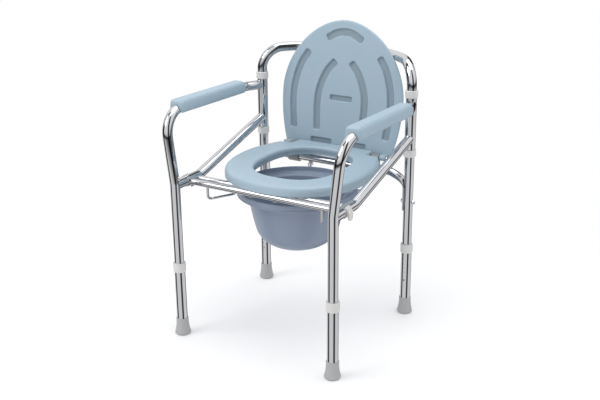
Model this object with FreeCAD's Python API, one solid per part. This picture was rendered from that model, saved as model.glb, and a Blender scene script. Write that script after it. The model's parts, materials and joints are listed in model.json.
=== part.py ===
import FreeCAD, Part
import math
import os

# Folding commode chair: chromed tube frame, moulded seat ring and lid, lift-out pail.
# Millimetres. X across (right is +X), -Y is the front, +Z up, floor at z = 0.

V = FreeCAD.Vector

# ---------------------------------------------------------------- tubes and fits
TUBE_D = 25.4            # back frame, arms, braces
TUBE_WALL = 1.2
OUTER_D = 28.0           # lower legs and rear sleeves, which slide over the tube
RUN = 0.1                # radial running clearance
SEAT_GAP = 0.3           # clearance between bodies that rest on each other
SNUG = 0.05              # radial clearance of a piece fixed round a tube

# ---------------------------------------------------------------- frame
LEG_SPACING = 452.0      # between leg centres, side to side
LEG_DEPTH = 406.0        # between leg centres, front to back
RAIL_Z = 688.0           # centre of the back rail
RAIL_BEND_R = 60.0       # bend at the top of each rear upright
RAIL_TURN = 46.0         # how far the rail turns rearward at each end, degrees
ARM_Z = 597.0            # arm centre over the front leg
ARM_REAR_Z = 586.5       # arm centre at the sleeve
ARM_BEND_Z = 588.0       # arm centre where it turns in to the sleeve
ARM_SPREAD = 22.0        # the arm stands this far outside the leg
ARM_BEND_Y = 150.0       # where the arm turns in to the sleeve
ARM_FRONT_R = 65.0
ARM_REAR_R = 45.0
KNEE_Z = 417.0           # where the front leg starts to lean outward
KNEE_R = 60.0
BRACE_TOP_Z = 497.0
BRACE_LOW_Z = 411.5
BRACE_BEND_Y = -103.0
BRACE_R = 45.0
UPPER_COLLAR_Z = 604.0
LOWER_COLLAR_Z = 448.0
COLLAR_H = 19.0
COLLAR_D = 33.0
TONGUE_UP = 22.0
TONGUE_DOWN = 16.0
TONGUE_T = 4.0
TONGUE_W = 12.0

# ---------------------------------------------------------------- legs
FOOT_H = 46.0
FOOT_D = 41.0
FOOT_TOP_D = 32.0
FOOT_FLOOR = 8.0         # rubber under the tube end
LEG_TOP_Z = 199.0
LEG_COLLAR_H = 24.0
LEG_CAP = 4.0            # collar thickness over the tube end
INNER_END_Z = 58.0
HOLE_PITCH = 12.25
HOLE_COUNT = 7
BUTTON_Z = 100.0
BUTTON_D = 6.0
BUTTON_CLEAR = 0.4
BUTTON_PROUD = 2.6
LEAF_T = 1.0

# ---------------------------------------------------------------- rear cross tube and hinge
CROSS_D = 22.0
CROSS_WALL = 1.5
CROSS_Z = 397.0
CROSS_BEND_R = 36.0
CROSS_END_Z = 356.0
SADDLE_T = 3.0
SADDLE_LOW_Z = 299.0
SADDLE_HIGH_Z = 366.0
SADDLE_HALF = 60.0       # degrees either side
BOLT_Z = 322.0
BOLT_D = 6.0
NUT_ACROSS = 10.0
NUT_T = 5.0
HEAD_T = 4.0
WING_T = 2.4
WING_H = 13.0
WING_REACH = 11.0
PIN_Y = 208.0
PIN_Z = 429.0
ROD_D = 8.0
ROD_HALF = 159.0
CLAMP_IN = 105.0
CLAMP_W = 32.0
CLAMP_SKIN = 4.5
EAR_R = 8.0
NECK_W = 13.0
EYE_X = 72.0
EYE_W = 8.0
EYE_END_Z = 362.0

# ---------------------------------------------------------------- seat
RING_TOP_Z = 442.0
RING_T = 25.0
RING_HALF = 192.0
RING_FRONT_Y = -158.0
RING_WIDE_Y = 50.0
RING_BACK_Y = 178.0
RING_BACK_HALF = 148.0
RING_TAB_HALF = 115.0
RING_TAB_Y = 217.5
RING_EDGE_R = 7.0
RING_CORNER_R = 9.0
RING_POWER = 2.3
HOLE_HALF = 117.0
HOLE_FRONT_Y = -92.0
HOLE_BACK_Y = 183.0
HOLE_POWER = 2.5
BAR_D = 16.0
BAR_WALL = 1.2
FRONT_BAR_Y = -150.0
INNER_BAR_Y = -120.0
BAR_HALF = 211.0
HOOK_T = 3.0
HOOK_DEPTH = 45.0
HOOK_LOW = 14.0
HOOK_START = 93.0        # where the hook's curl ends over the stub, degrees
CLIP_FRONT_Y = -160.0
CLIP_W = 20.0
CLIP_SKIN = 2.5
CLIP_START = -125.0
CLIP_SPAN = 190.0
TAB_GAP = 2.0            # from the stub to the tab's inner face
TAB_T = 3.5
TAB_DOWN = 20.0
TAB_UP = 6.0
TAB_CORNER_R = 8.0
WIRE_D = 6.5
WIRE_Z = 370.0
WIRE_FRONT_X = 165.0
WIRE_RAIL_X = 131.5
WIRE_TURN_Y = -88.0
WIRE_REAR_Y = 100.0
WIRE_REAR_X = 160.0
WIRE_R = 10.0
SCREW_D = 5.0
SCREW_HEAD_T = 2.5
SCREW_BITE = 14.0        # length of screw in the ring
FRONT_SCREW_X = 35.0
INNER_SCREW_X = 80.0

# ---------------------------------------------------------------- lid
LID_T = 8.0
LID_GAP = 2.0
LID_HALF = 184.0
LID_FRONT_Y = -140.0
LID_WIDE_Y = 60.0
LID_BACK_Y = 208.0
LID_BACK_HALF = 161.0
LID_POWER = 1.85
LID_EDGE_R = 5.0
LID_BACK_CORNER_R = 12.0
LID_OPEN = 97.7          # degrees open at rest, leaning on the back rail
LUG_IN = 139.0
LUG_W = 17.0

# ---------------------------------------------------------------- pail
PAIL_Y = 12.0
PAIL_TOP_R = 127.0
PAIL_LOW_R = 101.0
PAIL_LOW_Z = 229.0
PAIL_WALL = 2.5
PAIL_CORNER_R = 25.0
FLANGE_R = 156.0
FLANGE_T = 4.0
LIP_H = 14.0             # upturned edge of the pail's rim
LIP_T = 3.0
GRIP_X = 160.0
GRIP_W = 40.0

# ---------------------------------------------------------------- arm pad
PAD_FRONT_Y = -156.0
PAD_BACK_Y = 126.0
PAD_W = 44.0
PAD_LOW_Z = 586.0
PAD_TOP_Z = 619.5
PAD_EDGE_R = 8.0

# ---------------------------------------------------------------- derived places
TUBE_R = TUBE_D / 2
OUTER_R = OUTER_D / 2
INNER_WALL_R = TUBE_R - TUBE_WALL
SLIDE_R = TUBE_R + RUN
LEG_X = LEG_SPACING / 2
REAR_Y = LEG_DEPTH / 2
FRONT_Y = -LEG_DEPTH / 2
ARM_X = LEG_X + ARM_SPREAD
turn = math.radians(RAIL_TURN)
BOW_X = LEG_X - RAIL_BEND_R * math.cos(turn)
BOW_Y = REAR_Y + RAIL_BEND_R * math.sin(turn)
BOW_R = BOW_X / math.sin(turn)
BOW_CENTRE_Y = BOW_Y - BOW_R * math.cos(turn)
REAR_MOST_Y = BOW_CENTRE_Y + BOW_R + TUBE_R
FRONT_MOST_Y = FRONT_Y - FOOT_D / 2
MID_Y = (REAR_MOST_Y + FRONT_MOST_Y) / 2
RING_LOW_Z = RING_TOP_Z - RING_T
BAR_Z = RING_LOW_Z - BAR_D / 2
LID_LOW_Z = RING_TOP_Z + LID_GAP
FLANGE_Z = WIRE_Z + WIRE_D / 2 + SEAT_GAP
CROSS_X = LEG_X - TUBE_R - SEAT_GAP - CROSS_D / 2


# ---------------------------------------------------------------- helpers
def save(name, *shapes):
    """Write one node, centred front to back on the object's own box."""
    shape = shapes[0].copy() if len(shapes) == 1 else Part.makeCompound([s.copy() for s in shapes])
    shape.translate(V(0, -MID_Y, 0))
    shape.exportStep("parts/%s.step" % name)
    solids = shape.Solids
    print("%-22s solids %d  volume %.0f  valid %s" % (name, len(solids), shape.Volume, shape.isValid()))


def path(points, radii):
    """A wire of straight runs joined by tangent arcs, one radius for each inner point."""
    edges = []
    start = points[0]
    for i in range(1, len(points) - 1):
        corner = points[i]
        back = (points[i - 1] - corner).normalize()
        ahead = (points[i + 1] - corner).normalize()
        half = back.getAngle(ahead) / 2
        reach = radii[i - 1] / math.tan(half)
        a = corner + back * reach
        b = corner + ahead * reach
        middle = (back + ahead).normalize()
        centre = corner + middle * (radii[i - 1] / math.sin(half))
        top = centre - middle * radii[i - 1]
        edges.append(Part.LineSegment(start, a).toShape())
        edges.append(Part.Arc(a, top, b).toShape())
        start = b
    edges.append(Part.LineSegment(start, points[-1]).toShape())
    return Part.Wire(edges)


def sweep(wire, radius):
    """A round solid bar along a wire."""
    first = wire.OrderedEdges[0]
    origin = first.valueAt(first.FirstParameter)
    ahead = first.tangentAt(first.FirstParameter)
    ring = Part.Wire(Part.makeCircle(radius, origin, ahead))
    return wire.makePipeShell([ring], True, False)


def tube(wire, radius, wall):
    return sweep(wire, radius).cut(sweep(wire, radius - wall))


def rod(radius, start, end):
    return Part.makeCylinder(radius, (end - start).Length, start, end - start)


def ring_solid(r_out, r_in, z, height, x, y):
    outer = Part.makeCylinder(r_out, height, V(x, y, z))
    return outer.cut(Part.makeCylinder(r_in, height, V(x, y, z)))


def box(x0, x1, y0, y1, z0, z1):
    return Part.makeBox(x1 - x0, y1 - y0, z1 - z0, V(x0, y0, z0))


def hexagon(across, height, centre, axis):
    """A hexagonal prism that starts at centre and runs along axis."""
    corner = across / math.sqrt(3)
    points = [V(corner * math.cos(math.radians(60 * k)), corner * math.sin(math.radians(60 * k)), 0)
              for k in range(7)]
    prism = Part.Face(Part.makePolygon(points)).extrude(V(0, 0, height))
    prism.Placement = FreeCAD.Placement(centre, FreeCAD.Rotation(V(0, 0, 1), axis))
    return prism


def mirrored(shape):
    return shape.mirror(V(0, 0, 0), V(1, 0, 0))


def save_pair(name, right):
    """Write a right-hand piece and its mirror image."""
    save(name + "_right", right)
    save(name + "_left", mirrored(right))


def oval(half, front, wide, back, back_half, power, z):
    """The curved part of an outline, from the back right corner round the front to the back left."""
    right = []
    for k in (1.0, 0.72, 0.4):
        right.append(V(half - (half - back_half) * k ** 2.2, wide + (back - wide) * k, z))
    points = right + [V(half, wide, z)]
    for k in range(1, 12):
        a = math.radians(15 * k)
        x = abs(math.cos(a)) ** (2 / power) * math.copysign(half, math.cos(a))
        points.append(V(x, wide - (wide - front) * math.sin(a) ** (2 / power), z))
    points += [V(-half, wide, z)] + [V(-p.x, p.y, z) for p in reversed(right)]
    curve = Part.BSplineCurve()
    curve.interpolate(points)
    return curve.toShape()


def closed(curve, corners):
    """Close a curve with straight lines through the corners."""
    first = curve.valueAt(curve.FirstParameter)
    last = curve.valueAt(curve.LastParameter)
    lines = Part.makePolygon([last] + corners + [first])
    return Part.Wire([curve] + lines.Edges)


def edges_at(shape, z):
    return [e for e in shape.Edges if abs(e.BoundBox.ZMin - z) < 0.01 and abs(e.BoundBox.ZMax - z) < 0.01]


# ---------------------------------------------------------------- back frame
def rail_wire(low_z):
    """Left upright, corner, bowed rail, corner, right upright."""
    corner_z = RAIL_Z - RAIL_BEND_R
    bend_mid = 1 - math.cos(math.radians(45))
    out = math.sin(math.radians(45))

    def corner(side):
        dx = -side * math.cos(turn)
        dy = math.sin(turn)
        foot = V(side * LEG_X, REAR_Y, corner_z)
        mid = V(side * LEG_X + dx * RAIL_BEND_R * bend_mid, REAR_Y + dy * RAIL_BEND_R * bend_mid,
                corner_z + RAIL_BEND_R * out)
        top = V(side * BOW_X, BOW_Y, RAIL_Z)
        return foot, mid, top

    foot_l, mid_l, top_l = corner(-1)
    foot_r, mid_r, top_r = corner(1)
    middle = V(0, BOW_CENTRE_Y + BOW_R, RAIL_Z)
    return Part.Wire([
        Part.LineSegment(V(-LEG_X, REAR_Y, low_z), foot_l).toShape(),
        Part.Arc(foot_l, mid_l, top_l).toShape(),
        Part.Arc(top_l, middle, top_r).toShape(),
        Part.Arc(top_r, mid_r, foot_r).toShape(),
        Part.LineSegment(foot_r, V(LEG_X, REAR_Y, low_z)).toShape(),
    ])


def button_hole(x, y, facing, radius):
    """The hole that a snap button comes out of, through one wall only."""
    return rod(radius, V(x, y, BUTTON_Z), V(x, y + facing * 2 * OUTER_R, BUTTON_Z))


bolt_hole = rod(BOLT_D / 2 + RUN, V(LEG_X - 2 * OUTER_R, REAR_Y, BOLT_Z), V(LEG_X + 2 * OUTER_R, REAR_Y, BOLT_Z))

back_tube = tube(rail_wire(INNER_END_Z), TUBE_R, TUBE_WALL)
for side in (1, -1):
    back_tube = back_tube.cut(button_hole(side * LEG_X, REAR_Y, -1, BUTTON_D / 2 + BUTTON_CLEAR))
back_tube = back_tube.cut(bolt_hole).cut(mirrored(bolt_hole))

# rear cross tube: an inverted U whose ends are pressed to saddles on the uprights
cross_wire = path([V(-CROSS_X, REAR_Y, CROSS_END_Z), V(-CROSS_X, REAR_Y, CROSS_Z),
                   V(CROSS_X, REAR_Y, CROSS_Z), V(CROSS_X, REAR_Y, CROSS_END_Z)],
                  [CROSS_BEND_R, CROSS_BEND_R])


def saddle():
    """A curved plate against the inboard side of the right upright."""
    start = 180 - SADDLE_HALF
    height = SADDLE_HIGH_Z - SADDLE_LOW_Z
    outer = Part.makeCylinder(TUBE_R + SNUG + SADDLE_T, height, V(0, 0, 0), V(0, 0, 1), 2 * SADDLE_HALF)
    plate = outer.cut(Part.makeCylinder(TUBE_R + SNUG, height))
    plate.rotate(V(0, 0, 0), V(0, 0, 1), start)
    plate.translate(V(LEG_X, REAR_Y, SADDLE_LOW_Z))
    return plate


cross = tube(cross_wire, CROSS_D / 2, CROSS_WALL)
for piece in (saddle(), mirrored(saddle())):
    cross = cross.fuse(piece)
for hole in (bolt_hole, mirrored(bolt_hole)):
    cross = cross.cut(hole)
eye_hole = rod(BOLT_D / 2 + RUN, V(EYE_X, REAR_Y, CROSS_Z - CROSS_D), V(EYE_X, REAR_Y, CROSS_Z + CROSS_D))
cross = cross.cut(eye_hole).cut(mirrored(eye_hole)).removeSplitter()
save("rear_cross_tube", cross)

# bolts through each upright and saddle, head inboard, nut outboard
head_x = LEG_X - TUBE_R - SNUG - SADDLE_T
nut_x = LEG_X + TUBE_R
shank = rod(BOLT_D / 2, V(head_x, REAR_Y, BOLT_Z), V(nut_x + 7, REAR_Y, BOLT_Z))
bolt = shank.fuse(hexagon(NUT_ACROSS, HEAD_T, V(head_x - HEAD_T, REAR_Y, BOLT_Z), V(1, 0, 0)))
save("cross_tube_bolts", bolt, mirrored(bolt))
nut = hexagon(NUT_ACROSS, NUT_T, V(nut_x, REAR_Y, BOLT_Z), V(1, 0, 0)).cut(shank)
save("cross_tube_nuts", nut, mirrored(nut))


def collar(z, tongue_up):
    """A plastic ring fixed round the right upright, with a screwed tongue at the back."""
    body = Part.makeCylinder(COLLAR_D / 2, COLLAR_H, V(LEG_X, REAR_Y, z))
    body = body.makeFillet(1.5, edges_at(body, z) + edges_at(body, z + COLLAR_H))
    low = z if tongue_up else z - TONGUE_DOWN
    high = z + COLLAR_H + TONGUE_UP if tongue_up else z + COLLAR_H
    back = REAR_Y + TUBE_R + TONGUE_T
    tongue = box(LEG_X - TONGUE_W / 2, LEG_X + TONGUE_W / 2, REAR_Y + TUBE_R - 4, back, low, high)
    tongue = tongue.makeFillet(1.5, [e for e in tongue.Edges if e.BoundBox.YMin > back - 0.01])
    whole = body.fuse(tongue).cut(sweep(rail_wire(INNER_END_Z), TUBE_R + SNUG))
    return max(whole.Solids, key=lambda s: s.Volume)


def collar_screw(z):
    """A pan-head screw in the tongue, its tip in the tube wall."""
    seat = REAR_Y + TUBE_R + TONGUE_T
    head = rod(3.5, V(LEG_X, seat, z), V(LEG_X, seat + 2, z))
    return head.fuse(rod(1.8, V(LEG_X, REAR_Y + INNER_WALL_R - 3, z), V(LEG_X, seat, z)))


upper_screw_z = UPPER_COLLAR_Z + COLLAR_H + TONGUE_UP - 8
lower_screw_z = LOWER_COLLAR_Z - TONGUE_DOWN + 6
screws = [collar_screw(upper_screw_z), collar_screw(lower_screw_z)]
screws += [mirrored(s) for s in screws]
upper_collar = collar(UPPER_COLLAR_Z, True)
lower_collar = collar(LOWER_COLLAR_Z, False)
for screw in screws[:2]:
    upper_collar = upper_collar.cut(screw)
    lower_collar = lower_collar.cut(screw)
for screw in screws:
    back_tube = back_tube.cut(screw)
save("back_tube", back_tube)
save_pair("upper_collar", upper_collar)
save_pair("lower_collar", lower_collar)
save("collar_screws", *screws)


# ---------------------------------------------------------------- seat hinge
def bracket(x0, width, tube_r, ear_r, neck):
    """A block round the cross tube that carries the hinge rod above it."""
    low = Part.makeCylinder(tube_r, width, V(x0, REAR_Y, CROSS_Z), V(1, 0, 0))
    ear = Part.makeCylinder(ear_r, width, V(x0, PIN_Y, PIN_Z), V(1, 0, 0))
    a = V(x0, REAR_Y + neck / 2, CROSS_Z)
    b = V(x0, PIN_Y + neck / 2, PIN_Z)
    c = V(x0, PIN_Y - neck / 2, PIN_Z)
    d = V(x0, REAR_Y - neck / 2, CROSS_Z)
    web = Part.Face(Part.makePolygon([a, b, c, d, a])).extrude(V(width, 0, 0))
    return low.fuse(ear).fuse(web)


rod_bore = Part.makeCylinder(ROD_D / 2 + RUN, 2 * ROD_HALF, V(-ROD_HALF, PIN_Y, PIN_Z), V(1, 0, 0))
cross_bore = Part.makeCylinder(CROSS_D / 2 + SNUG, 2 * LEG_X, V(-LEG_X, REAR_Y, CROSS_Z), V(1, 0, 0))
clamp = bracket(CLAMP_IN, CLAMP_W, CROSS_D / 2 + CLAMP_SKIN, EAR_R, NECK_W)
clamp = clamp.cut(rod_bore).cut(cross_bore).removeSplitter()
save_pair("hinge_clamp", clamp)

hinge_rod = rod(ROD_D / 2, V(-ROD_HALF, PIN_Y, PIN_Z), V(ROD_HALF, PIN_Y, PIN_Z))
for side in (1, -1):
    hinge_rod = hinge_rod.fuse(rod(6, V(side * ROD_HALF, PIN_Y, PIN_Z), V(side * (ROD_HALF + 3), PIN_Y, PIN_Z)))
save("hinge_rod", hinge_rod)

# eyebolts: the eye holds the rod, the shank passes through the cross tube to a nut
eye_low = V(EYE_X, REAR_Y, EYE_END_Z)
eye_top = V(EYE_X, REAR_Y, PIN_Z - 4)
eye = Part.makeCylinder(EAR_R - 0.5, EYE_W, V(EYE_X - EYE_W / 2, PIN_Y, PIN_Z), V(1, 0, 0))
eyebolt = eye.fuse(rod(BOLT_D / 2, eye_low, eye_top)).cut(rod_bore)
save("eyebolts", eyebolt, mirrored(eyebolt))
nut_z = CROSS_Z - CROSS_D / 2
eye_nut = hexagon(NUT_ACROSS, NUT_T, V(EYE_X, REAR_Y, nut_z - NUT_T), V(0, 0, 1))
for side in (1, -1):
    wing = box(EYE_X - WING_T / 2, EYE_X + WING_T / 2, 0, WING_REACH, nut_z - 1 - WING_H, nut_z - 1)
    wing = wing.makeFillet(WING_T / 2 - 0.1, wing.Edges)
    if side < 0:
        wing = wing.mirror(V(0, 0, 0), V(0, 1, 0))
    wing.translate(V(0, REAR_Y + side * 3, 0))
    eye_nut = eye_nut.fuse(wing)
eye_nut = eye_nut.cut(Part.makeCylinder(BOLT_D / 2, 40, V(EYE_X, REAR_Y, nut_z - 30)))
save("eyebolt_nuts", eye_nut, mirrored(eye_nut))


# ---------------------------------------------------------------- side frames
sleeve_low = LOWER_COLLAR_Z + COLLAR_H + SEAT_GAP
sleeve_high = UPPER_COLLAR_Z - SEAT_GAP
sleeve = ring_solid(OUTER_R, SLIDE_R, sleeve_low, sleeve_high - sleeve_low, LEG_X, REAR_Y)
save_pair("sleeve", sleeve)
sleeve_core = Part.makeCylinder(OUTER_R, sleeve_high - sleeve_low, V(LEG_X, REAR_Y, sleeve_low))

arm_wire = path([V(LEG_X, REAR_Y, ARM_REAR_Z), V(ARM_X, ARM_BEND_Y, ARM_BEND_Z),
                 V(ARM_X, FRONT_Y, ARM_Z), V(LEG_X, FRONT_Y, KNEE_Z), V(LEG_X, FRONT_Y, INNER_END_Z)],
                [ARM_REAR_R, ARM_FRONT_R, KNEE_R])
arm_solid = sweep(arm_wire, TUBE_R)
arm_tube = arm_solid.cut(sweep(arm_wire, TUBE_R - TUBE_WALL)).cut(sleeve_core)
arm_tube = arm_tube.cut(button_hole(LEG_X, FRONT_Y, 1, BUTTON_D / 2 + BUTTON_CLEAR))

brace_wire = path([V(LEG_X, REAR_Y, BRACE_TOP_Z), V(LEG_X, BRACE_BEND_Y, BRACE_LOW_Z),
                   V(LEG_X, FRONT_Y, BRACE_LOW_Z)], [BRACE_R])
brace = tube(brace_wire, TUBE_R, TUBE_WALL).cut(sleeve_core).cut(arm_solid)
brace = max(brace.Solids, key=lambda s: s.Volume)
save_pair("brace", brace)

# arm pad with its two screws from below
pad = box(ARM_X - PAD_W / 2, ARM_X + PAD_W / 2, PAD_FRONT_Y, PAD_BACK_Y, PAD_LOW_Z, PAD_TOP_Z)
pad = pad.makeFillet(PAD_EDGE_R, pad.Edges)
arm_fall = math.atan2(ARM_Z - ARM_BEND_Z, ARM_BEND_Y - FRONT_Y)
pad.rotate(V(ARM_X, FRONT_Y, ARM_Z), V(1, 0, 0), -math.degrees(arm_fall))
pad = pad.cut(sweep(arm_wire, TUBE_R + SNUG))
pad = max(pad.Solids, key=lambda s: s.Volume)


def pad_screw(y):
    """A screw up through the arm tube into the pad."""
    share = (ARM_BEND_Y - y) / (ARM_BEND_Y - FRONT_Y)
    z = ARM_BEND_Z + (ARM_Z - ARM_BEND_Z) * share
    seat = z - TUBE_R
    head = rod(4, V(ARM_X, y, seat - 2), V(ARM_X, y, seat + 0.4))
    return head.fuse(rod(1.9, V(ARM_X, y, seat - 1), V(ARM_X, y, z + TUBE_R + 4)))


pad_screws = [pad_screw(PAD_FRONT_Y + 75), pad_screw(PAD_BACK_Y - 65)]
for screw in pad_screws:
    pad = pad.cut(screw)
    arm_tube = arm_tube.cut(screw)
save_pair("arm_tube", arm_tube)
save_pair("arm_pad", pad)
save("pad_screws_right", *pad_screws)
save("pad_screws_left", *[mirrored(s) for s in pad_screws])

# plastic clip on the stub, outboard of the seat hook, with a flat thumb tab
clip_y1 = CLIP_FRONT_Y + CLIP_W
clip = Part.makeCylinder(TUBE_R + SNUG + CLIP_SKIN, CLIP_W, V(0, 0, 0), V(0, 0, 1), CLIP_SPAN)
clip = clip.cut(Part.makeCylinder(TUBE_R + SNUG, CLIP_W))
clip.rotate(V(0, 0, 0), V(0, 0, 1), CLIP_START)
clip.rotate(V(0, 0, 0), V(1, 0, 0), 90)
clip.translate(V(LEG_X, clip_y1, BRACE_LOW_Z))
tab_x = LEG_X + TUBE_R + TAB_GAP
tab = box(tab_x, tab_x + TAB_T, CLIP_FRONT_Y, clip_y1, BRACE_LOW_Z - TAB_DOWN, BRACE_LOW_Z + TAB_UP)
across = [e for e in tab.Edges if e.BoundBox.XLength > TAB_T - 0.01]
tab = tab.makeFillet(TAB_CORNER_R, across)
clip = clip.fuse(tab).removeSplitter()
save_pair("stub_clip", clip)


# ---------------------------------------------------------------- lower legs
def lower_leg(x, y, facing):
    """Outer leg tube with its row of adjusting holes."""
    leg = ring_solid(OUTER_R, SLIDE_R, FOOT_FLOOR, LEG_TOP_Z - FOOT_FLOOR, x, y)
    for k in range(HOLE_COUNT):
        z = BUTTON_Z + k * HOLE_PITCH
        leg = leg.cut(rod(BUTTON_D / 2 + BUTTON_CLEAR, V(x, y, z), V(x, y + facing * 2 * OUTER_R, z)))
    return leg


def leg_collar(x, y):
    """Plastic bush over the top of the lower leg; the frame tube runs through it."""
    low = LEG_TOP_Z + LEG_CAP - LEG_COLLAR_H
    body = Part.makeCylinder(COLLAR_D / 2, LEG_COLLAR_H, V(x, y, low))
    body = body.makeFillet(1.2, edges_at(body, low) + edges_at(body, low + LEG_COLLAR_H))
    body = body.cut(Part.makeCylinder(OUTER_R + SNUG, LEG_COLLAR_H - LEG_CAP, V(x, y, low)))
    return body.cut(Part.makeCylinder(SLIDE_R, LEG_COLLAR_H, V(x, y, low)))


def foot(x, y):
    """Rubber foot: a flared cup with a rounded sole edge."""
    profile = [V(0, 0, 0), V(FOOT_D / 2 - 5, 0, 0)]
    low_edge = Part.Arc(V(FOOT_D / 2 - 5, 0, 0), V(FOOT_D / 2 - 1.2, 0, 1.8), V(FOOT_D / 2, 0, 6)).toShape()
    flank = Part.Arc(V(FOOT_D / 2, 0, 6), V(FOOT_D / 2 - 3.4, 0, 22), V(FOOT_TOP_D / 2, 0, FOOT_H - 1.5)).toShape()
    rest = Part.makePolygon([V(FOOT_TOP_D / 2, 0, FOOT_H - 1.5), V(FOOT_TOP_D / 2 - 1, 0, FOOT_H),
                             V(0, 0, FOOT_H), V(0, 0, 0)])
    outline = Part.Wire([Part.LineSegment(profile[0], profile[1]).toShape(), low_edge, flank] + rest.Edges)
    body = Part.Face(outline).revolve(V(0, 0, 0), V(0, 0, 1), 360)
    body = body.cut(Part.makeCylinder(OUTER_R + SNUG, FOOT_H, V(0, 0, FOOT_FLOOR)))
    body.translate(V(x, y, 0))
    return body


def snap_button(x, y, facing):
    """Push button on its leaf, inside the frame tube and out through both walls."""
    tip = OUTER_R + BUTTON_PROUD
    leaf_r = INNER_WALL_R - 4.5
    pin = rod(BUTTON_D / 2, V(x, y + facing * leaf_r, BUTTON_Z), V(x, y + facing * tip, BUTTON_Z))
    ends = [e for e in pin.Edges if abs(e.BoundBox.YMin - (y + facing * tip)) < 0.01
            and e.BoundBox.YLength < 0.01]
    pin = pin.makeFillet(BUTTON_D / 2 - 0.6, ends)
    y0 = y + facing * leaf_r
    y1 = y + facing * (leaf_r - LEAF_T)
    leaf = box(x - 4, x + 4, min(y0, y1), max(y0, y1), BUTTON_Z - 34, BUTTON_Z + 5)
    return pin.fuse(leaf)


CORNERS = [("front_left", -LEG_X, FRONT_Y, 1), ("front_right", LEG_X, FRONT_Y, 1),
           ("rear_left", -LEG_X, REAR_Y, -1), ("rear_right", LEG_X, REAR_Y, -1)]
for name, x, y, facing in CORNERS:
    save("lower_leg_" + name, lower_leg(x, y, facing))
    save("leg_collar_" + name, leg_collar(x, y))
    save("foot_" + name, foot(x, y))
    save("snap_button_" + name, snap_button(x, y, facing))


# ---------------------------------------------------------------- seat
ring_curve = oval(RING_HALF, RING_FRONT_Y, RING_WIDE_Y, RING_BACK_Y, RING_BACK_HALF, RING_POWER, RING_LOW_Z)
ring_wire = closed(ring_curve, [V(-RING_TAB_HALF, RING_BACK_Y, RING_LOW_Z), V(-RING_TAB_HALF, RING_TAB_Y, RING_LOW_Z),
                                V(RING_TAB_HALF, RING_TAB_Y, RING_LOW_Z), V(RING_TAB_HALF, RING_BACK_Y, RING_LOW_Z)])
seat_ring = Part.Face(ring_wire).extrude(V(0, 0, RING_T))
upright = [e for e in seat_ring.Edges if e.BoundBox.ZLength > RING_T - 0.01]
seat_ring = seat_ring.makeFillet(RING_CORNER_R, upright)
seat_ring = seat_ring.makeFillet(RING_EDGE_R, edges_at(seat_ring, RING_TOP_Z))

hole_mid = (HOLE_FRONT_Y + HOLE_BACK_Y) / 2
hole_long = (HOLE_BACK_Y - HOLE_FRONT_Y) / 2
hole_points = []
for k in range(24):
    a = math.radians(15 * k)
    x = HOLE_HALF * math.copysign(abs(math.cos(a)) ** (2 / HOLE_POWER), math.cos(a))
    y = hole_mid + hole_long * math.copysign(abs(math.sin(a)) ** (2 / HOLE_POWER), math.sin(a))
    hole_points.append(V(x, y, RING_LOW_Z - 1))
hole_curve = Part.BSplineCurve()
hole_curve.interpolate(hole_points, PeriodicFlag=True)
opening = Part.Face(Part.Wire(hole_curve.toShape())).extrude(V(0, 0, RING_T + 2))
seat_ring = seat_ring.cut(opening)
seat_ring = seat_ring.cut(rod_bore)


def hinge_recess(x0, x1):
    """Room for a fixed ear: round the rod, and down and back where its neck swings to."""
    x0 = x0 - 0.6
    x1 = x1 + 0.6
    r = EAR_R + 0.6
    round_part = Part.makeCylinder(r, x1 - x0, V(x0, PIN_Y, PIN_Z), V(1, 0, 0))
    block = box(x0, x1, PIN_Y - r, RING_TAB_Y + 5, RING_LOW_Z - 1, PIN_Z + r)
    return round_part.fuse(block)


for x0, x1 in ((CLAMP_IN, CLAMP_IN + CLAMP_W), (EYE_X - EYE_W / 2, EYE_X + EYE_W / 2)):
    recess = hinge_recess(x0, x1)
    seat_ring = seat_ring.cut(recess).cut(mirrored(recess))


def bar(y):
    axis = Part.Wire(Part.LineSegment(V(-BAR_HALF, y, BAR_Z), V(BAR_HALF, y, BAR_Z)).toShape())
    return tube(axis, BAR_D / 2, BAR_WALL)


# each hook: a plate on the bar ends that curls over the inner half of the stub
hook_y0 = (FRONT_BAR_Y + INNER_BAR_Y) / 2 - HOOK_DEPTH / 2
hook_in = TUBE_R + SEAT_GAP
hook = Part.makeCylinder(hook_in + HOOK_T, HOOK_DEPTH, V(0, 0, 0), V(0, 0, 1), 180 - HOOK_START)
hook = hook.cut(Part.makeCylinder(hook_in, HOOK_DEPTH))
hook.rotate(V(0, 0, 0), V(0, 0, 1), HOOK_START)
hook.rotate(V(0, 0, 0), V(1, 0, 0), 90)
hook.translate(V(LEG_X, hook_y0 + HOOK_DEPTH, BRACE_LOW_Z))
plate_x = LEG_X - hook_in - HOOK_T
plate = box(plate_x, plate_x + HOOK_T, hook_y0, hook_y0 + HOOK_DEPTH, BRACE_LOW_Z - HOOK_LOW, BRACE_LOW_Z)
hook = hook.fuse(plate).removeSplitter()
bar_core = {y: rod(BAR_D / 2, V(-BAR_HALF, y, BAR_Z), V(BAR_HALF, y, BAR_Z)) for y in (FRONT_BAR_Y, INNER_BAR_Y)}


# pail rails: wire from the front bar, down, in, back under the pail rim, out and up to the ring
def rail(side):
    wire = path([V(side * WIRE_FRONT_X, FRONT_BAR_Y, BAR_Z),
                 V(side * WIRE_FRONT_X, FRONT_BAR_Y, WIRE_Z),
                 V(side * WIRE_RAIL_X, WIRE_TURN_Y, WIRE_Z),
                 V(side * WIRE_RAIL_X, WIRE_REAR_Y, WIRE_Z),
                 V(side * WIRE_REAR_X, WIRE_REAR_Y, WIRE_Z),
                 V(side * WIRE_REAR_X, WIRE_REAR_Y, RING_LOW_Z + 8)],
                [WIRE_R, 40, 12, WIRE_R])
    return sweep(wire, WIRE_D / 2)


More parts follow.
